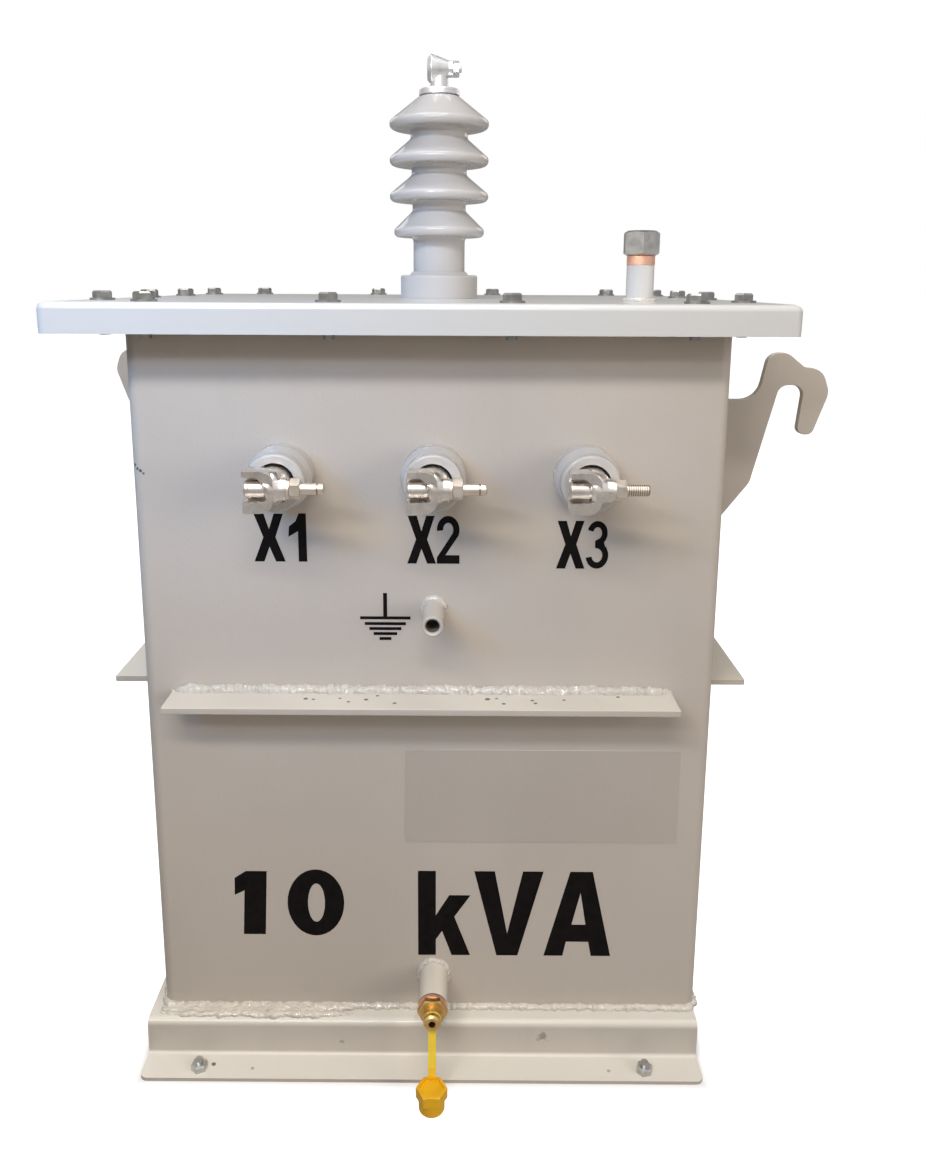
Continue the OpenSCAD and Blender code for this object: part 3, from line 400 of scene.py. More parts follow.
def placePiece(piece, finish, slot, *replaced):
    piece.data.materials.clear()
    piece.data.materials.append(finish)
    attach(piece, "root")
    if replaced:
        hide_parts(*replaced)


skinRules = {"merge": 0.002 * mm, "flat": 0.4, "bevelFrom": 38, "bevelSteps": 2, "smoothTo": 30}


def dressNode(node, finish, slot, edge):
    work = bmesh.new()
    work.from_mesh(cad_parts[node].data)
    bmesh.ops.remove_doubles(work, verts=work.verts, dist=skinRules["merge"])
    bmesh.ops.dissolve_limit(work, angle_limit=math.radians(skinRules["flat"]), verts=work.verts,
                             edges=work.edges)
    mesh = bpy.data.meshes.new(node + "_skin")
    work.to_mesh(mesh)
    work.free()
    piece = newPiece(node + "_skin", mesh)
    if edge:
        bevel = piece.modifiers.new("edge", "BEVEL")
        bevel.width = edge * mm
        bevel.segments = skinRules["bevelSteps"]
        bevel.limit_method = "ANGLE"
        bevel.angle_limit = math.radians(skinRules["bevelFrom"])
        bakeModifiers(piece)
    smoothByAngle(piece, skinRules["smoothTo"])
    flats = piece.modifiers.new("flats", "WEIGHTED_NORMAL")  # keeps the sheet faces flat beside round corners
    flats.keep_sharp = True
    bakeModifiers(piece)
    placePiece(piece, finish, slot, node)


# Finish, slot and edge rounding in millimetres of each solid
skins = {
    "tank_shell": (tankPaint, "tank_paint", 0.4),
    "tank_floor": (tankPaint, "tank_paint", 0.4),
    "tank_flange": (tankPaint, "tank_paint", 0.6),
    "cover_gasket": (rubber, "gasket", 0.5),
    "cover": (coverPaint, "cover_paint", 0.5),
    "hv_collar": (collarPaint, "insulator", 0.4),
    "hv_bushing": (glaze, "insulator", 0),
    "hv_cap": (brightCast, "aluminium", 0),
    "hv_terminal": (brightCast, "aluminium", 0.7),
    "hv_clamp_bolt": (brightCast, "zinc", 0.2),
    "filler_pipe": (coverPaint, "cover_paint", 0.4),
    "filler_washer": (copper, "copper", 0.4),
    "filler_cap": (zinc, "zinc", 0.6),
    "earth_boss": (bossPaint, "tank_paint", 0.4),
    "drain_coupling": (tankPaint, "tank_paint", 0.5),
    "drain_washer": (copper, "copper", 0.3),
    "drain_valve": (brass, "brass", 0.3),
    "drain_strap": (strapYellow, "yellow_cap", 0.3),
    "drain_cap": (yellow, "yellow_cap", 0.5),
}
for side in ("front", "back"):
    skins["foot_" + side] = (litFootPaint, "tank_paint", 0.6)
for side in ("front", "back", "left", "right"):
    skins["stiffener_" + side] = (barPaint, "tank_paint", 0.5)
for side in ("left", "right"):
    skins["lifting_lug_" + side] = (tankPaint, "tank_paint", 0.8)
phases = ("1", "2", "3")
for phase in phases:
    skins["lv_bushing_" + phase] = (lowGlaze, "insulator", 0.3)
    skins["lv_connector_" + phase] = (aluminium, "aluminium", 1.2)
    skins["lv_keeper_" + phase] = (aluminium, "aluminium", 0.8)
    skins["lv_clamp_bolt_" + phase] = (creamZinc, "zinc", 0.25)

for node, (finish, slot, edge) in skins.items():
    dressNode(node, finish, slot, edge)
print("solids dressed:", len(skins))


# Swollen cast barrel between each clamp's jaw and its nut

barrelShape = {"sides": 40, "up": 0.8, "back": 3.2, "smooth": 40,
               "profile": ((-3.5, 7.0), (-2.5, 10.5), (-0.5, 11.9), (2.0, 12.2), (4.5, 11.6), (6.5, 10.2),
                           (7.8, 8.6), (8.2, 6.0))}


def barrelMesh(name, axes):
    work = bmesh.new()
    sides = barrelShape["sides"]
    angles = [math.tau * side / sides for side in range(sides)]
    for x, y, z in axes:
        rings = []
        for along, radius in barrelShape["profile"]:
            reach = radius * mm
            rings.append([work.verts.new((x + along * mm, y + reach * math.sin(a), z + reach * math.cos(a)))
                          for a in angles])
        for first, second in zip(rings, rings[1:]):
            for side in range(sides):
                after = (side + 1) % sides
                work.faces.new((first[side], first[after], second[after], second[side]))
        work.faces.new(rings[0])
        work.faces.new(rings[-1])
    bmesh.ops.recalc_face_normals(work, faces=work.faces)
    mesh = bpy.data.meshes.new(name)
    work.to_mesh(mesh)
    work.free()
    return mesh


barrelAxes = []
for phase in phases:
    boltLow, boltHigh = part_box("lv_clamp_bolt_" + phase)
    hubLow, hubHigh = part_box("lv_bushing_" + phase)
    barrelAxes.append(((hubLow.x + hubHigh.x) / 2, (boltLow.y + boltHigh.y) / 2 + barrelShape["back"] * mm,
                       (boltLow.z + boltHigh.z) / 2 + barrelShape["up"] * mm))
barrels = newPiece("lv_barrels", barrelMesh("lv_barrels", barrelAxes))
smoothByAngle(barrels, barrelShape["smooth"])
placePiece(barrels, aluminium, "aluminium")
print("clamp barrels made:", len(barrelAxes))


# Geometry Nodes building blocks

def newTree(name, sizes):
    tree = bpy.data.node_groups.new(name, "GeometryNodeTree")
    tree.interface.new_socket("Geometry", in_out="INPUT", socket_type="NodeSocketGeometry")
    tree.interface.new_socket("Geometry", in_out="OUTPUT", socket_type="NodeSocketGeometry")
    for label, value in sizes.items():
        kind = "NodeSocketInt" if isinstance(value, int) else "NodeSocketFloat"
        tree.interface.new_socket(label, in_out="INPUT", socket_type=kind).default_value = value
    given = tree.nodes.new("NodeGroupInput").outputs
    output = tree.nodes.new("NodeGroupOutput").inputs["Geometry"]
    return tree, given, output


def liftBy(tree, geometry, height):
    place = addStep(tree, "ShaderNodeCombineXYZ", {"Z": height})
    links = {"Geometry": geometry, "Translation": place.outputs["Vector"]}
    return addStep(tree, "GeometryNodeTransform", links).outputs["Geometry"]


def drum(tree, radius, depth, vertices):
    return addStep(tree, "GeometryNodeMeshCylinder", {"Radius": radius, "Depth": depth},
                   {"Vertices": vertices}).outputs["Mesh"]


def endTree(tree, geometry, finish, output):
    real = addStep(tree, "GeometryNodeRealizeInstances", {"Geometry": geometry})
    painted = addStep(tree, "GeometryNodeSetMaterial", {"Geometry": real.outputs["Geometry"]},
                      {"Material": finish})
    tree.links.new(painted.outputs["Geometry"], output)


def growTree(piece, tree, sizes):
    grow = piece.modifiers.new("grow", "NODES")
    grow.node_group = tree
    sockets = {item.name: item.identifier for item in tree.interface.items_tree if item.in_out == "INPUT"}
    for label, value in sizes.items():
        grow[sockets[label]] = value
    bakeModifiers(piece)


# Hexagon bolts with their washers and nuts

boltSmooth = 28  # degrees
boltSides = {"washer": 36, "shank": 24}


def chamferedHex(tree, flats, height, bevel=0.22, lean=0.84):
    corner = mathOf(tree, "DIVIDE", flats, math.sqrt(3))
    body = mathOf(tree, "MULTIPLY", height, 1 - bevel)
    joined = addStep(tree, "GeometryNodeJoinGeometry")
    tree.links.new(liftBy(tree, drum(tree, corner, body, 6), mathOf(tree, "MULTIPLY", body, 0.5)),
                   joined.inputs["Geometry"])
    crown = addStep(tree, "GeometryNodeMeshCone",
                    {"Radius Bottom": corner, "Radius Top": mathOf(tree, "MULTIPLY", corner, lean),
                     "Depth": mathOf(tree, "MULTIPLY", height, bevel)}, {"Vertices": 6})
    tree.links.new(liftBy(tree, crown.outputs["Mesh"], body), joined.inputs["Geometry"])
    return joined.outputs["Geometry"]


def spreadTree(tree, given, output, parts, finish):
    joined = addStep(tree, "GeometryNodeJoinGeometry")
    for part in parts:
        tree.links.new(part, joined.inputs["Geometry"])
    turn = addStep(tree, "FunctionNodeRandomValue", data_type="FLOAT")
    turn.inputs[3].default_value = math.tau
    tree.links.new(given["seed"], turn.inputs["Seed"])
    spin = addStep(tree, "ShaderNodeCombineXYZ", {"Z": turn.outputs[1]})
    spread = addStep(tree, "GeometryNodeInstanceOnPoints",
                     {"Points": given["Geometry"], "Instance": joined.outputs["Geometry"],
                      "Rotation": spin.outputs["Vector"]})
    endTree(tree, spread.outputs["Instances"], finish, output)
    return tree


def boltTree(sizes, finish):
    tree, given, output = newTree("boltTree", sizes)
    washer = liftBy(tree, drum(tree, given["washerRadius"], given["washerHeight"], boltSides["washer"]),
                    mathOf(tree, "MULTIPLY", given["washerHeight"], 0.5))
    head = liftBy(tree, chamferedHex(tree, given["headFlats"], given["headHeight"]), given["washerHeight"])
    shank = liftBy(tree, drum(tree, given["shankRadius"], given["shankLength"], boltSides["shank"]),
                   mathOf(tree, "MULTIPLY", given["shankLength"], -0.5))
    nut = addStep(tree, "GeometryNodeTransform",
                  {"Geometry": chamferedHex(tree, given["headFlats"], given["nutHeight"])},
                  {"Rotation": (math.pi, 0, 0)}).outputs["Geometry"]
    nut = liftBy(tree, nut, mathOf(tree, "MULTIPLY", given["nutDrop"], -1.0))
    return spreadTree(tree, given, output, (washer, head, shank, nut), finish)


def studTree(sizes, finish):
    tree, given, output = newTree("studTree", sizes)
    nut = chamferedHex(tree, given["nutFlats"], given["nutHeight"])
    halfStud = mathOf(tree, "MULTIPLY", given["studLength"], 0.5)
    stud = liftBy(tree, drum(tree, given["studRadius"], given["studLength"], boltSides["shank"]),
                  mathOf(tree, "SUBTRACT", halfStud, given["studDrop"]))
    return spreadTree(tree, given, output, (nut, stud), finish)


def boltsAt(name, places, makeTree, sizes, finish):
    mesh = bpy.data.meshes.new(name)
    mesh.from_pydata(places, [], [])
    piece = newPiece(name, mesh)
    growTree(piece, makeTree(sizes, finish), sizes)
    smoothByAngle(piece, boltSmooth)
    placePiece(piece, finish, "zinc")


coverBolts = {"headFlats": 13 * mm, "headHeight": 5.3 * mm, "washerRadius": 9 * mm, "washerHeight": 1.6 * mm,
              "shankRadius": 4 * mm, "shankLength": 25.5 * mm, "nutHeight": 6.5 * mm, "nutDrop": 14 * mm,
              "seed": 7}
boltRows = {"edge": 22.5 * mm, "pitchX": 128 * mm, "pitchY": 110 * mm, "count": 4}
footBolts = {"nutFlats": 11.5 * mm, "nutHeight": 5.5 * mm, "studRadius": 3 * mm, "studLength": 11.5 * mm,
             "studDrop": 2.6 * mm, "seed": 3}
footRows = {"edge": 10 * mm, "halfSpan": 178.5 * mm, "top": 3 * mm}


def rowOf(count, pitch):
    return [(step - (count - 1) / 2) * pitch for step in range(count)]


coverPlaces = []
for sign in (-1, 1):
    rowY = sign * (coverHigh.y - boltRows["edge"])
    coverPlaces += [(x, rowY, coverTop) for x in rowOf(boltRows["count"], boltRows["pitchX"])]
    rowX = sign * (coverHigh.x - boltRows["edge"])
    coverPlaces += [(rowX, y, coverTop) for y in rowOf(boltRows["count"], boltRows["pitchY"])]

footPlaces = []
for node, sign in (("foot_front", -1), ("foot_back", 1)):
    footLow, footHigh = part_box(node)
    edgeY = footLow.y if sign < 0 else footHigh.y
    footPlaces += [(side * footRows["halfSpan"], edgeY - sign * footRows["edge"], footRows["top"])
                   for side in (-1, 1)]

boltsAt("cover_bolts", coverPlaces, boltTree, coverBolts, boltZinc)
boltsAt("foot_bolts", footPlaces, studTree, footBolts, zinc)
print("bolts set:", len(coverPlaces) + len(footPlaces))


# Weld beads that follow the seams

weldSmooth = 60  # degrees
beadEnd = 0.25  # share of its width that a bead keeps at its ends


def ripplePoints(tree, geometry, scale, amount):
    ripple = addStep(tree, "ShaderNodeTexNoise", {"Scale": scale}, {"Detail": 2.0})
    centred = addStep(tree, "ShaderNodeVectorMath", {0: ripple.outputs["Color"]}, {1: (0.5, 0.5, 0.5)},
                      operation="SUBTRACT")
    scaled = addStep(tree, "ShaderNodeVectorMath", {0: centred.outputs["Vector"], "Scale": amount},
                     operation="SCALE")
    return addStep(tree, "GeometryNodeSetPosition",
                   {"Geometry": geometry, "Offset": scaled.outputs["Vector"]}).outputs["Geometry"]


def weldTree(sizes):
    tree, given, output = newTree("weldTree", sizes)
    path = addStep(tree, "GeometryNodeMeshToCurve", {"Mesh": given["Geometry"]})
    even = addStep(tree, "GeometryNodeResampleCurve",
                   {"Curve": path.outputs["Curve"], "Length": given["step"]}, mode="LENGTH")
    swell = addStep(tree, "ShaderNodeTexNoise", {"Scale": given["swellScale"]}, {"Detail": 1.0})
    width = mathOf(tree, "ADD", mathOf(tree, "MULTIPLY", swell.outputs["Fac"], given["swell"]),
                   mathOf(tree, "MULTIPLY_ADD", given["swell"], -0.5, 1.0))
    along = addStep(tree, "GeometryNodeSplineParameter").outputs["Length"]
    total = addStep(tree, "GeometryNodeSplineLength").outputs["Length"]
    fromEnd = mathOf(tree, "MINIMUM", along, mathOf(tree, "SUBTRACT", total, along))
    taper = mathOf(tree, "DIVIDE", fromEnd, given["taper"])
    taper = mathOf(tree, "MINIMUM", mathOf(tree, "ADD", taper, beadEnd), 1.0)
    width = mathOf(tree, "MULTIPLY", width, taper)
    uneven = addStep(tree, "GeometryNodeSetCurveRadius", {"Curve": even.outputs["Curve"], "Radius": width})
    bead = addStep(tree, "GeometryNodeCurvePrimitiveCircle", {"Radius": given["radius"]}, {"Resolution": 18},
                   mode="RADIUS")
    swept = addStep(tree, "GeometryNodeCurveToMesh",
                    {"Curve": uneven.outputs["Curve"], "Profile Curve": bead.outputs["Curve"],
                     "Scale": width}, {"Fill Caps": True})
    moved = ripplePoints(tree, swept.outputs["Mesh"], given["rippleScale"], given["ripple"])
    moved = ripplePoints(tree, moved, given["grainScale"], given["grain"])
    place = addStep(tree, "GeometryNodeInputPosition")
    height = addStep(tree, "ShaderNodeSeparateXYZ", {"Vector": place.outputs["Position"]}).outputs["Z"]
    sink = mathOf(tree, "MULTIPLY", mathOf(tree, "SUBTRACT", given["level"], height), given["squash"])
    down = addStep(tree, "ShaderNodeCombineXYZ", {"Z": sink})
    flat = addStep(tree, "GeometryNodeSetPosition", {"Geometry": moved, "Offset": down.outputs["Vector"]})
    endTree(tree, flat.outputs["Geometry"], litWeldPaint, output)
    return tree


def weldAlong(name, paths, tree, sizes, finish=litWeldPaint):
    points = []
    edges = []
    for path, closed in paths:
        first = len(points)
        points += [tuple(point) for point in path]
        edges += [(first + step, first + step + 1) for step in range(len(path) - 1)]
        if closed:
            edges.append((first + len(path) - 1, first))
    mesh = bpy.data.meshes.new(name)
    mesh.from_pydata(points, edges, [])
    piece = newPiece(name, mesh)
    growTree(piece, tree, sizes)
    smoothByAngle(piece, weldSmooth)
    placePiece(piece, finish, "tank_paint")


def ringPath(centre, radius, normal, steps=28):
    turn = Vector(normal).to_track_quat("Z", "Y").to_matrix()
    angles = [math.tau * step / steps for step in range(steps)]
    return [Vector(centre) + turn @ Vector((radius * math.cos(a), radius * math.sin(a), 0)) for a in angles]


# Sizes of the beads: squash flattens one towards its level, and a closed ring has no ends to taper
seamZ = tankLow.z + 0.6 * mm
seamBead = {"radius": 3.8 * mm, "step": 1.0 * mm, "swell": 1.6, "swellScale": 150.0, "taper": 6 * mm,
            "ripple": 3.0 * mm, "rippleScale": 170.0, "grain": 2.6 * mm, "grainScale": 420.0,
            "squash": 0.2, "level": seamZ}
wideBead = dict(seamBead, radius=4.2 * mm, swell=1.2, swellScale=80.0, taper=30 * mm, ripple=5.0 * mm,
                rippleScale=100.0, squash=0.3)
barBead = dict(seamBead, radius=3.2 * mm, swell=0.9, ripple=2.4 * mm, rippleScale=190.0, grain=1.6 * mm,
               squash=0.0)
thickBead = dict(barBead, radius=5.2 * mm, swell=0.8, taper=16 * mm, ripple=4.6 * mm, rippleScale=190.0,
                 grain=3.4 * mm)
ringBead = dict(barBead, radius=3.0 * mm, step=0.8 * mm, swell=0.5, taper=0.01 * mm, ripple=2.2 * mm,
                rippleScale=160.0, grain=0.4 * mm)
welds = weldTree(seamBead)

seamRun = {"reach": 60 * mm, "corner": 6 * mm}
seamPaths = []
for sign in (-1, 1):
    wallY = sign * tankHigh.y
    reachY = wallY - sign * seamRun["reach"]
    corner = seamRun["corner"]
    seamPaths.append(([(tankLow.x, reachY, seamZ), (tankLow.x, wallY - sign * corner, seamZ),
                       (tankLow.x + corner, wallY, seamZ), (tankHigh.x - corner, wallY, seamZ),
                       (tankHigh.x, wallY - sign * corner, seamZ), (tankHigh.x, reachY, seamZ)], False))
weldAlong("tank_seam_weld", seamPaths, welds, seamBead)

# Three more runs on the left of the front ledge: distance from the wall, drop and right end in millimetres
wideRuns = ((2.5, 0.0, -48), (5.5, 0.6, -66), (9.0, 1.2, -58))
wideLeft = tankLow.x - 1 * mm
widePaths = []
for out, drop, end in wideRuns:
    runY = frontPlane - out * mm
    runZ = seamZ - drop * mm
    widePaths.append(([(wideLeft, runY, runZ), (end * mm, runY, runZ)], False))
weldAlong("wide_seam_weld", widePaths, welds, wideBead)

barPaths = []
thickPaths = []
for node in ("stiffener_front", "stiffener_back", "stiffener_left", "stiffener_right"):
    low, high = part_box(node)
    along = 0 if high.x - low.x > high.y - low.y else 1
    wall = 1 - along
    wallPlace = (tankLow if low[wall] + high[wall] < 0 else tankHigh)[wall]
    for level in (high.z, low.z):
        ends = []
        for reach in (low[along], high[along]):
            point = [0, 0, level]
            point[along] = reach
            point[wall] = wallPlace
            ends.append(tuple(point))
        thick = node == "stiffener_front" and level == high.z
        (thickPaths if thick else barPaths).append((ends, False))
weldAlong("stiffener_welds", barPaths, welds, barBead)
weldAlong("front_bar_weld", thickPaths, welds, thickBead, litBarWeldPaint)

lugPaths = []
lugWeld = {"top": 38.5 * mm, "root": 131 * mm}
for node in ("lifting_lug_left", "lifting_lug_right"):
    low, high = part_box(node)
    wallX = tankLow.x if low.x < 0 else tankHigh.x
    for faceY in (low.y, high.y):
        lugPaths.append(([(wallX, faceY, high.z - lugWeld["top"]),
                          (wallX, faceY, high.z - lugWeld["top"] - lugWeld["root"])], False))
weldAlong("lug_welds", lugPaths, welds, barBead)

ringPaths = []
for node in ("earth_boss", "drain_coupling"):
    low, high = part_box(node)
    centre = ((low.x + high.x) / 2, frontPlane, (low.z + high.z) / 2)
    ringPaths.append((ringPath(centre, (high.x - low.x) / 2, (0, -1, 0)), True))
low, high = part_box("filler_pipe")
centre = ((low.x + high.x) / 2, (low.y + high.y) / 2, coverTop)
ringPaths.append((ringPath(centre, (high.x - low.x) / 2, (0, 0, 1)), True))
weldAlong("ring_welds", ringPaths, welds, ringBead, litBarWeldPaint)
beads = seamPaths + widePaths + barPaths + thickPaths + lugPaths + ringPaths
print("weld beads laid:", len(beads))


# Stencilled marks on the front of the tank

def arc(cx, cy, rx, ry, start, end, steps=14):
    angles = [math.radians(start + (end - start) * step / steps) for step in range(steps + 1)]
    return [(cx + rx * math.cos(a), cy + ry * math.sin(a)) for a in angles]


# Outlines of the letters, each in a box one wide and one high
glyphs = {
    "X": [[(0, 1), (0.33, 1), (0.495, 0.68), (0.665, 1), (0.97, 1), (0.70, 0.51), (1.02, 0), (0.70, 0),
           (0.495, 0.31), (0.31, 0), (-0.02, 0), (0.30, 0.51)]],
    "1": [[(0.60, 1.01), (1, 1.01), (1.02, 0), (0.54, 0), (0.54, 0.64), (0, 0.52), (0.04, 0.735),
           (0.42, 0.85)]],
    "2": [arc(0.5, 0.71, 0.5, 0.29, 185, -25) + [(0.38, 0.18), (1, 0.18), (1, 0), (0, 0), (0, 0.13)]
          + arc(0.5, 0.71, 0.225, 0.145, -35, 185)],
    "3": [arc(0.48, 0.745, 0.46, 0.255, 165, -48) + arc(0.48, 0.28, 0.52, 0.28, 48, -170)
          + arc(0.48, 0.28, 0.245, 0.145, -170, 78) + [(0.38, 0.44), (0.38, 0.585)]
          + arc(0.48, 0.745, 0.20, 0.125, -78, 165)],
    "heavy1": [[(0.364, 0.97), (1, 0.97), (0.90, 0.015), (0.225, 0.015), (0.302, 0.68), (0, 0.61),
                (0.016, 0.865)]],
    "0": [arc(0.5, 0.5, 0.5, 0.5, 0, 350, 35), arc(0.51, 0.5, 0.15, 0.29, 0, 350, 35)],
    "k": [[(0, 0), (0, 1), (0.34, 1), (0.34, 0.477), (0.595, 0.716), (1, 0.716), (0.693, 0.461), (1, 0),
           (0.644, 0), (0.459, 0.29), (0.34, 0.187), (0.34, 0)]],
    "V": [[(0, 1), (0.297, 1), (0.487, 0.263), (0.703, 1), (1, 1), (0.643, 0), (0.335, 0)]],
    "A": [[(0.367, 1), (0.697, 1), (1, 0), (0.708, 0), (0.663, 0.17), (0.33, 0.17), (0.284, 0), (0, 0)],
          [(0.527, 0.752), (0.614, 0.375), (0.405, 0.375)]],
}


def inkMarks(name, outlines, finish, slot, proud=0.06):
    curve = bpy.data.curves.new(name, "CURVE")
    curve.dimensions = "2D"
    curve.fill_mode = "BOTH"
    curve.extrude = proud * mm / 2
    for outline in outlines:
        spline = curve.splines.new("POLY")
        spline.points.add(len(outline) - 1)
        for point, (x, z) in zip(spline.points, outline):
            point.co = (x * mm, z * mm, 0, 1)
        spline.use_cyclic_u = True
    shape = newPiece(name + "_outline", curve)
    mesh = evaluatedMesh(shape)
    bpy.data.objects.remove(shape)
    bpy.data.curves.remove(curve)
    upright = Matrix.Rotation(math.radians(90), 4, "X")
    mesh.transform(Matrix.Translation((0, frontPlane - proud * mm / 2, 0)) @ upright)
    placePiece(newPiece(name, mesh), finish, slot)


def glyphAt(letter, left, bottom, width, height, slant=0.0):
    return [[(left + width * (x + slant * y), bottom + height * y) for x, y in loop]
            for loop in glyphs[letter]]


# Left edge, foot, letter width, gap and digit width of each terminal mark in millimetres
terminalMarks = {"X1": (-125.4, 416.4, 22.6, 3.0, 13.4), "X2": (-10.6, 415.4, 20.8, 1.0, 17.0),
                 "X3": (101.2, 412.1, 20.6, 1.6, 16.4)}
terminalHeight = 37
outlines = []
for word, (left, foot, width, gap, digitWidth) in terminalMarks.items():
    outlines += glyphAt("X", left, foot, width, terminalHeight)
    outlines += glyphAt(word[1], left + width + gap, foot, digitWidth, terminalHeight)
inkMarks("terminal_marks", outlines, ink, "gasket")

ratingType = {"left": -152.3, "foot": 99, "height": 60, "oneWidth": 26.6, "zeroLeft": -110.2, "zeroWidth": 46,
              "zeroSlant": 0.02}
outlines = glyphAt("heavy1", ratingType["left"], ratingType["foot"], ratingType["oneWidth"],
                   ratingType["height"])
outlines += glyphAt("0", ratingType["zeroLeft"], ratingType["foot"], ratingType["zeroWidth"],
                    ratingType["height"], ratingType["zeroSlant"])
unitType = {"left": -3.9, "foot": 81.7, "width": 157.4, "height": 76.6,
            "letters": (("k", 0, 0.27), ("V", 0.2885, 0.643), ("A", 0.652, 1.0))}
for letter, start, end in unitType["letters"]:
    outlines += glyphAt(letter, unitType["left"] + start * unitType["width"], unitType["foot"],
                        (end - start) * unitType["width"], unitType["height"])
inkMarks("rating_marks", outlines, ink, "gasket")

earthMark = {"middle": -28, "top": 392.1, "stem": 3.0, "barTop": 373.5, "thick": 2.4,
             "bars": ((0, 38.4), (4.6, 31.4), (8.6, 24.4), (12.6, 18.0), (16.6, 9.1))}


def barOutline(middle, top, width, thick):
    half = width / 2
    foot = top - thick
    return [(middle - half, top), (middle + half, top), (middle + half, foot), (middle - half, foot)]


outlines = [barOutline(earthMark["middle"], earthMark["top"], earthMark["stem"],
                       earthMark["top"] - earthMark["barTop"])]
for drop, width in earthMark["bars"]:
    outlines.append(barOutline(earthMark["middle"], earthMark["barTop"] - drop, width, earthMark["thick"]))
inkMarks("earth_mark", outlines, ink, "gasket")

# The nameplate's place, left bare and painted over
barePlate = {"left": -13.5, "right": 202.5, "top": 264, "foot": 184.5, "proud": 0.5}
inkMarks("bare_plate", [[(barePlate["left"], barePlate["foot"]), (barePlate["right"], barePlate["foot"]),
                         (barePlate["right"], barePlate["top"]), (barePlate["left"], barePlate["top"])]],
         platePaint, "tank_paint", barePlate["proud"])
print("marks drawn")


# Studio: pale floor, soft lights and a light surround

# The floor glows white from just outside the part's footprint, and looks paler than the light it returns
floorLook = {"half": 12, "roughness": 0.7, "footprint": {"X": 224 * mm, "Y": 236 * mm}, "glowFrom": 0.99,
             "glowTo": 1.07, "returned": (0.24, 0.215, 0.19), "shown": (0.86, 0.86, 0.86), "shine": 0.20}


def paleFloor():
    mesh = bpy.data.meshes.new("floor")
    half = floorLook["half"]
    corners = [(-half, -half, 0), (half, -half, 0), (half, half, 0), (-half, half, 0)]
    mesh.from_pydata(corners, [], [(0, 1, 2, 3)])
    floor = newPiece("floor", mesh)
    material, tree, shader = newMaterial("paleFloor", floorLook["roughness"])
    path = addNode(tree, "LightPath")
    seen = path.outputs["Is Camera Ray"]
    tree.links.new(mixOf(tree, seen, floorLook["returned"], floorLook["shown"]), shader.inputs["Base Color"])
    shader.inputs["Emission Color"].default_value = (1, 1, 1, 1)
    coords = addNode(tree, "TexCoord")
    split = addNode(tree, "SeparateXYZ")
    tree.links.new(coords.outputs["Object"], split.inputs["Vector"])
    spans = [mathOf(tree, "DIVIDE", mathOf(tree, "ABSOLUTE", split.outputs[axis]), reach)
             for axis, reach in floorLook["footprint"].items()]
    glow = addNode(tree, "MapRange", {"From Min": floorLook["glowFrom"], "From Max": floorLook["glowTo"]})
    tree.links.new(mathOf(tree, "MAXIMUM", *spans), glow.inputs["Value"])
    shine = mathOf(tree, "MULTIPLY", path.outputs["Is Glossy Ray"], floorLook["shine"])
    lit = mathOf(tree, "MULTIPLY_ADD", glow.outputs["Result"], seen, shine)
    tree.links.new(lit, shader.inputs["Emission Strength"])
    mesh.materials.append(material)


def softLight(name, place, aim, size, power, colour, spread):
    data = bpy.data.lights.new(name, "AREA")
    data.shape = "RECTANGLE"
    data.size, data.size_y = size
    data.energy = power
    data.color = colour
    data.spread = math.radians(spread)
    light = bpy.data.objects.new(name, data)
    light.location = place
    light.rotation_euler = (Vector(aim) - Vector(place)).to_track_quat("-Z", "Y").to_euler()
    light.visible_glossy = name not in ("windowLeft", "fillRight")  # their colours would tint every bolt
    bpy.context.scene.collection.objects.link(light)


paleFloor()
middle = (0, 0, 0.38)
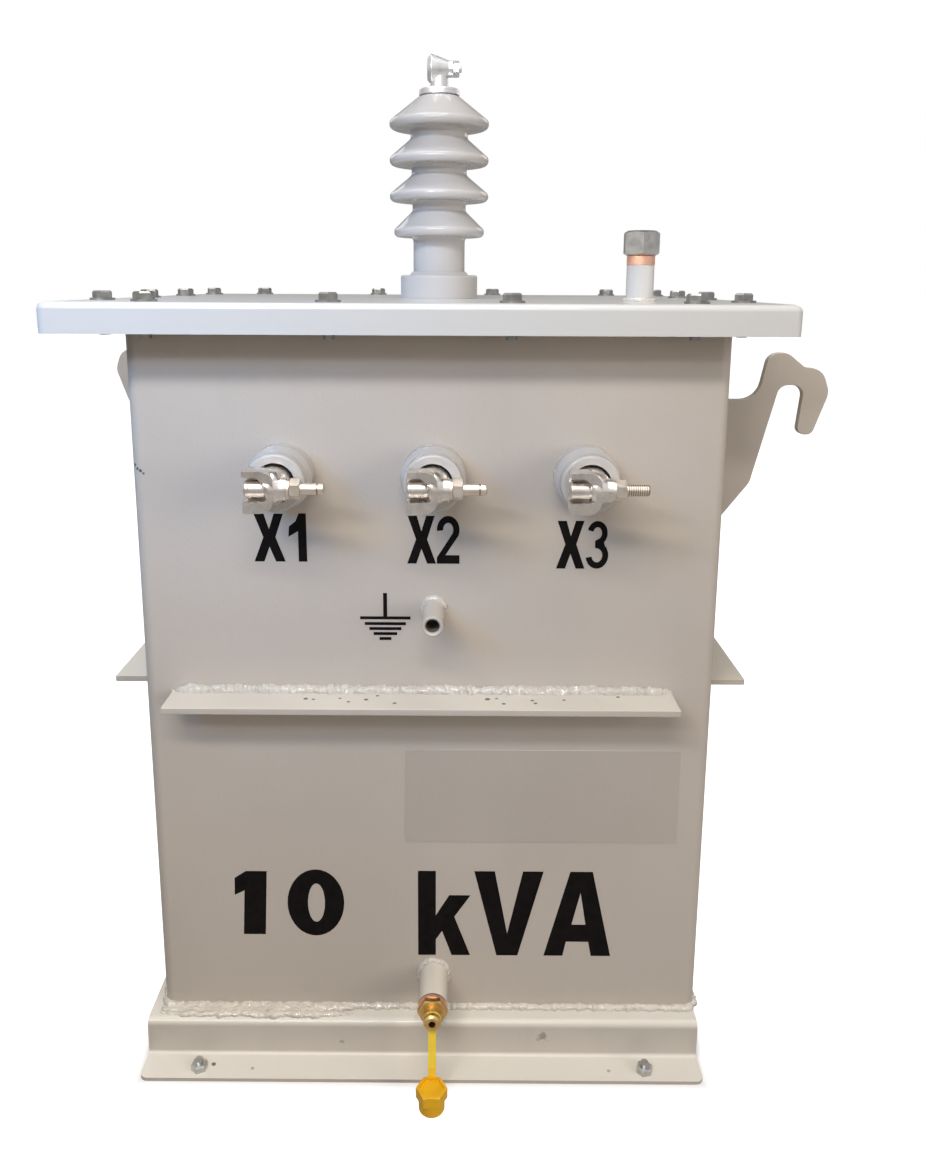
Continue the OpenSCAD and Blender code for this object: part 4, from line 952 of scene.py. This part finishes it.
# Place, aim, size, power, colour and spread in degrees of each light
lights = {
    "key": ((-0.45, -1.2, 1.07), middle, (0.4, 0.07), 2.4, (1.0, 0.97, 0.94), 180),
    "overhead": ((-0.2, -1.0, 1.27), middle, (0.9, 0.09), 8.0, (1.0, 0.97, 0.93), 180),
    "ceiling": ((-0.15, -0.22, 2.3), middle, (1.5, 0.35), 14.5, (1.0, 0.98, 0.95), 180),
    "windowLeft": ((-0.75, -0.75, 0.98), (-0.22, -0.2, 0.61), (0.4, 0.4), 0.40, (0.14, 0.46, 1.0), 36),
    "fillRight": ((1.8, -1.5, 0.9), middle, (1.2, 1.2), 19, (1.0, 0.95, 0.88), 180),
    "backLeft": ((-1.6, 2.2, 1.8), middle, (1.4, 1.4), 6, (0.98, 0.99, 1.0), 180),
    "backRight": ((1.8, 2.0, 1.6), middle, (1.2, 1.2), 6, (1.0, 0.98, 0.95), 180),
}
for name, settings in lights.items():
    softLight(name, *settings)

# Light of the surround from below to above, what shiny faces see of it, and what they see behind the part
surroundLook = {"sky": [(0.0, 0.10), (0.5, 0.13), (0.62, 0.08), (1.0, 0.28)],
                "shine": [(0.0, (0.30, 0.27, 0.24)), (0.45, (0.42, 0.39, 0.36)), (0.55, (0.75, 0.73, 0.72)),
                          (1.0, (0.80, 0.80, 0.82))],
                "behind": (0.30, 0.29, 0.28), "behindFrom": 0.1, "behindTo": 0.6, "shown": (1.0, 1.0, 1.0)}

world = bpy.data.worlds.new("surround")
world.use_nodes = True
surround = world.node_tree
background = surround.nodes["Background"]
coords = addNode(surround, "TexCoord")
split = addNode(surround, "SeparateXYZ")
surround.links.new(coords.outputs["Generated"], split.inputs["Vector"])
height = mathOf(surround, "MULTIPLY_ADD", split.outputs["Z"], 0.5, 0.5)
sky = rampOf(surround, height, surroundLook["sky"])
shine = rampOf(surround, height, surroundLook["shine"])
behind = addNode(surround, "MapRange", {"From Min": surroundLook["behindFrom"],
                                        "From Max": surroundLook["behindTo"]})
surround.links.new(split.outputs["Y"], behind.inputs["Value"])
shine = mixOf(surround, behind.outputs["Result"], shine, surroundLook["behind"])
path = addNode(surround, "LightPath")
seen = mixOf(surround, path.outputs["Is Glossy Ray"], sky, shine)
seen = mixOf(surround, path.outputs["Is Camera Ray"], seen, surroundLook["shown"])
surround.links.new(seen, background.inputs["Color"])
bpy.context.scene.world = world
print("studio lit:", len(lights), "lights")
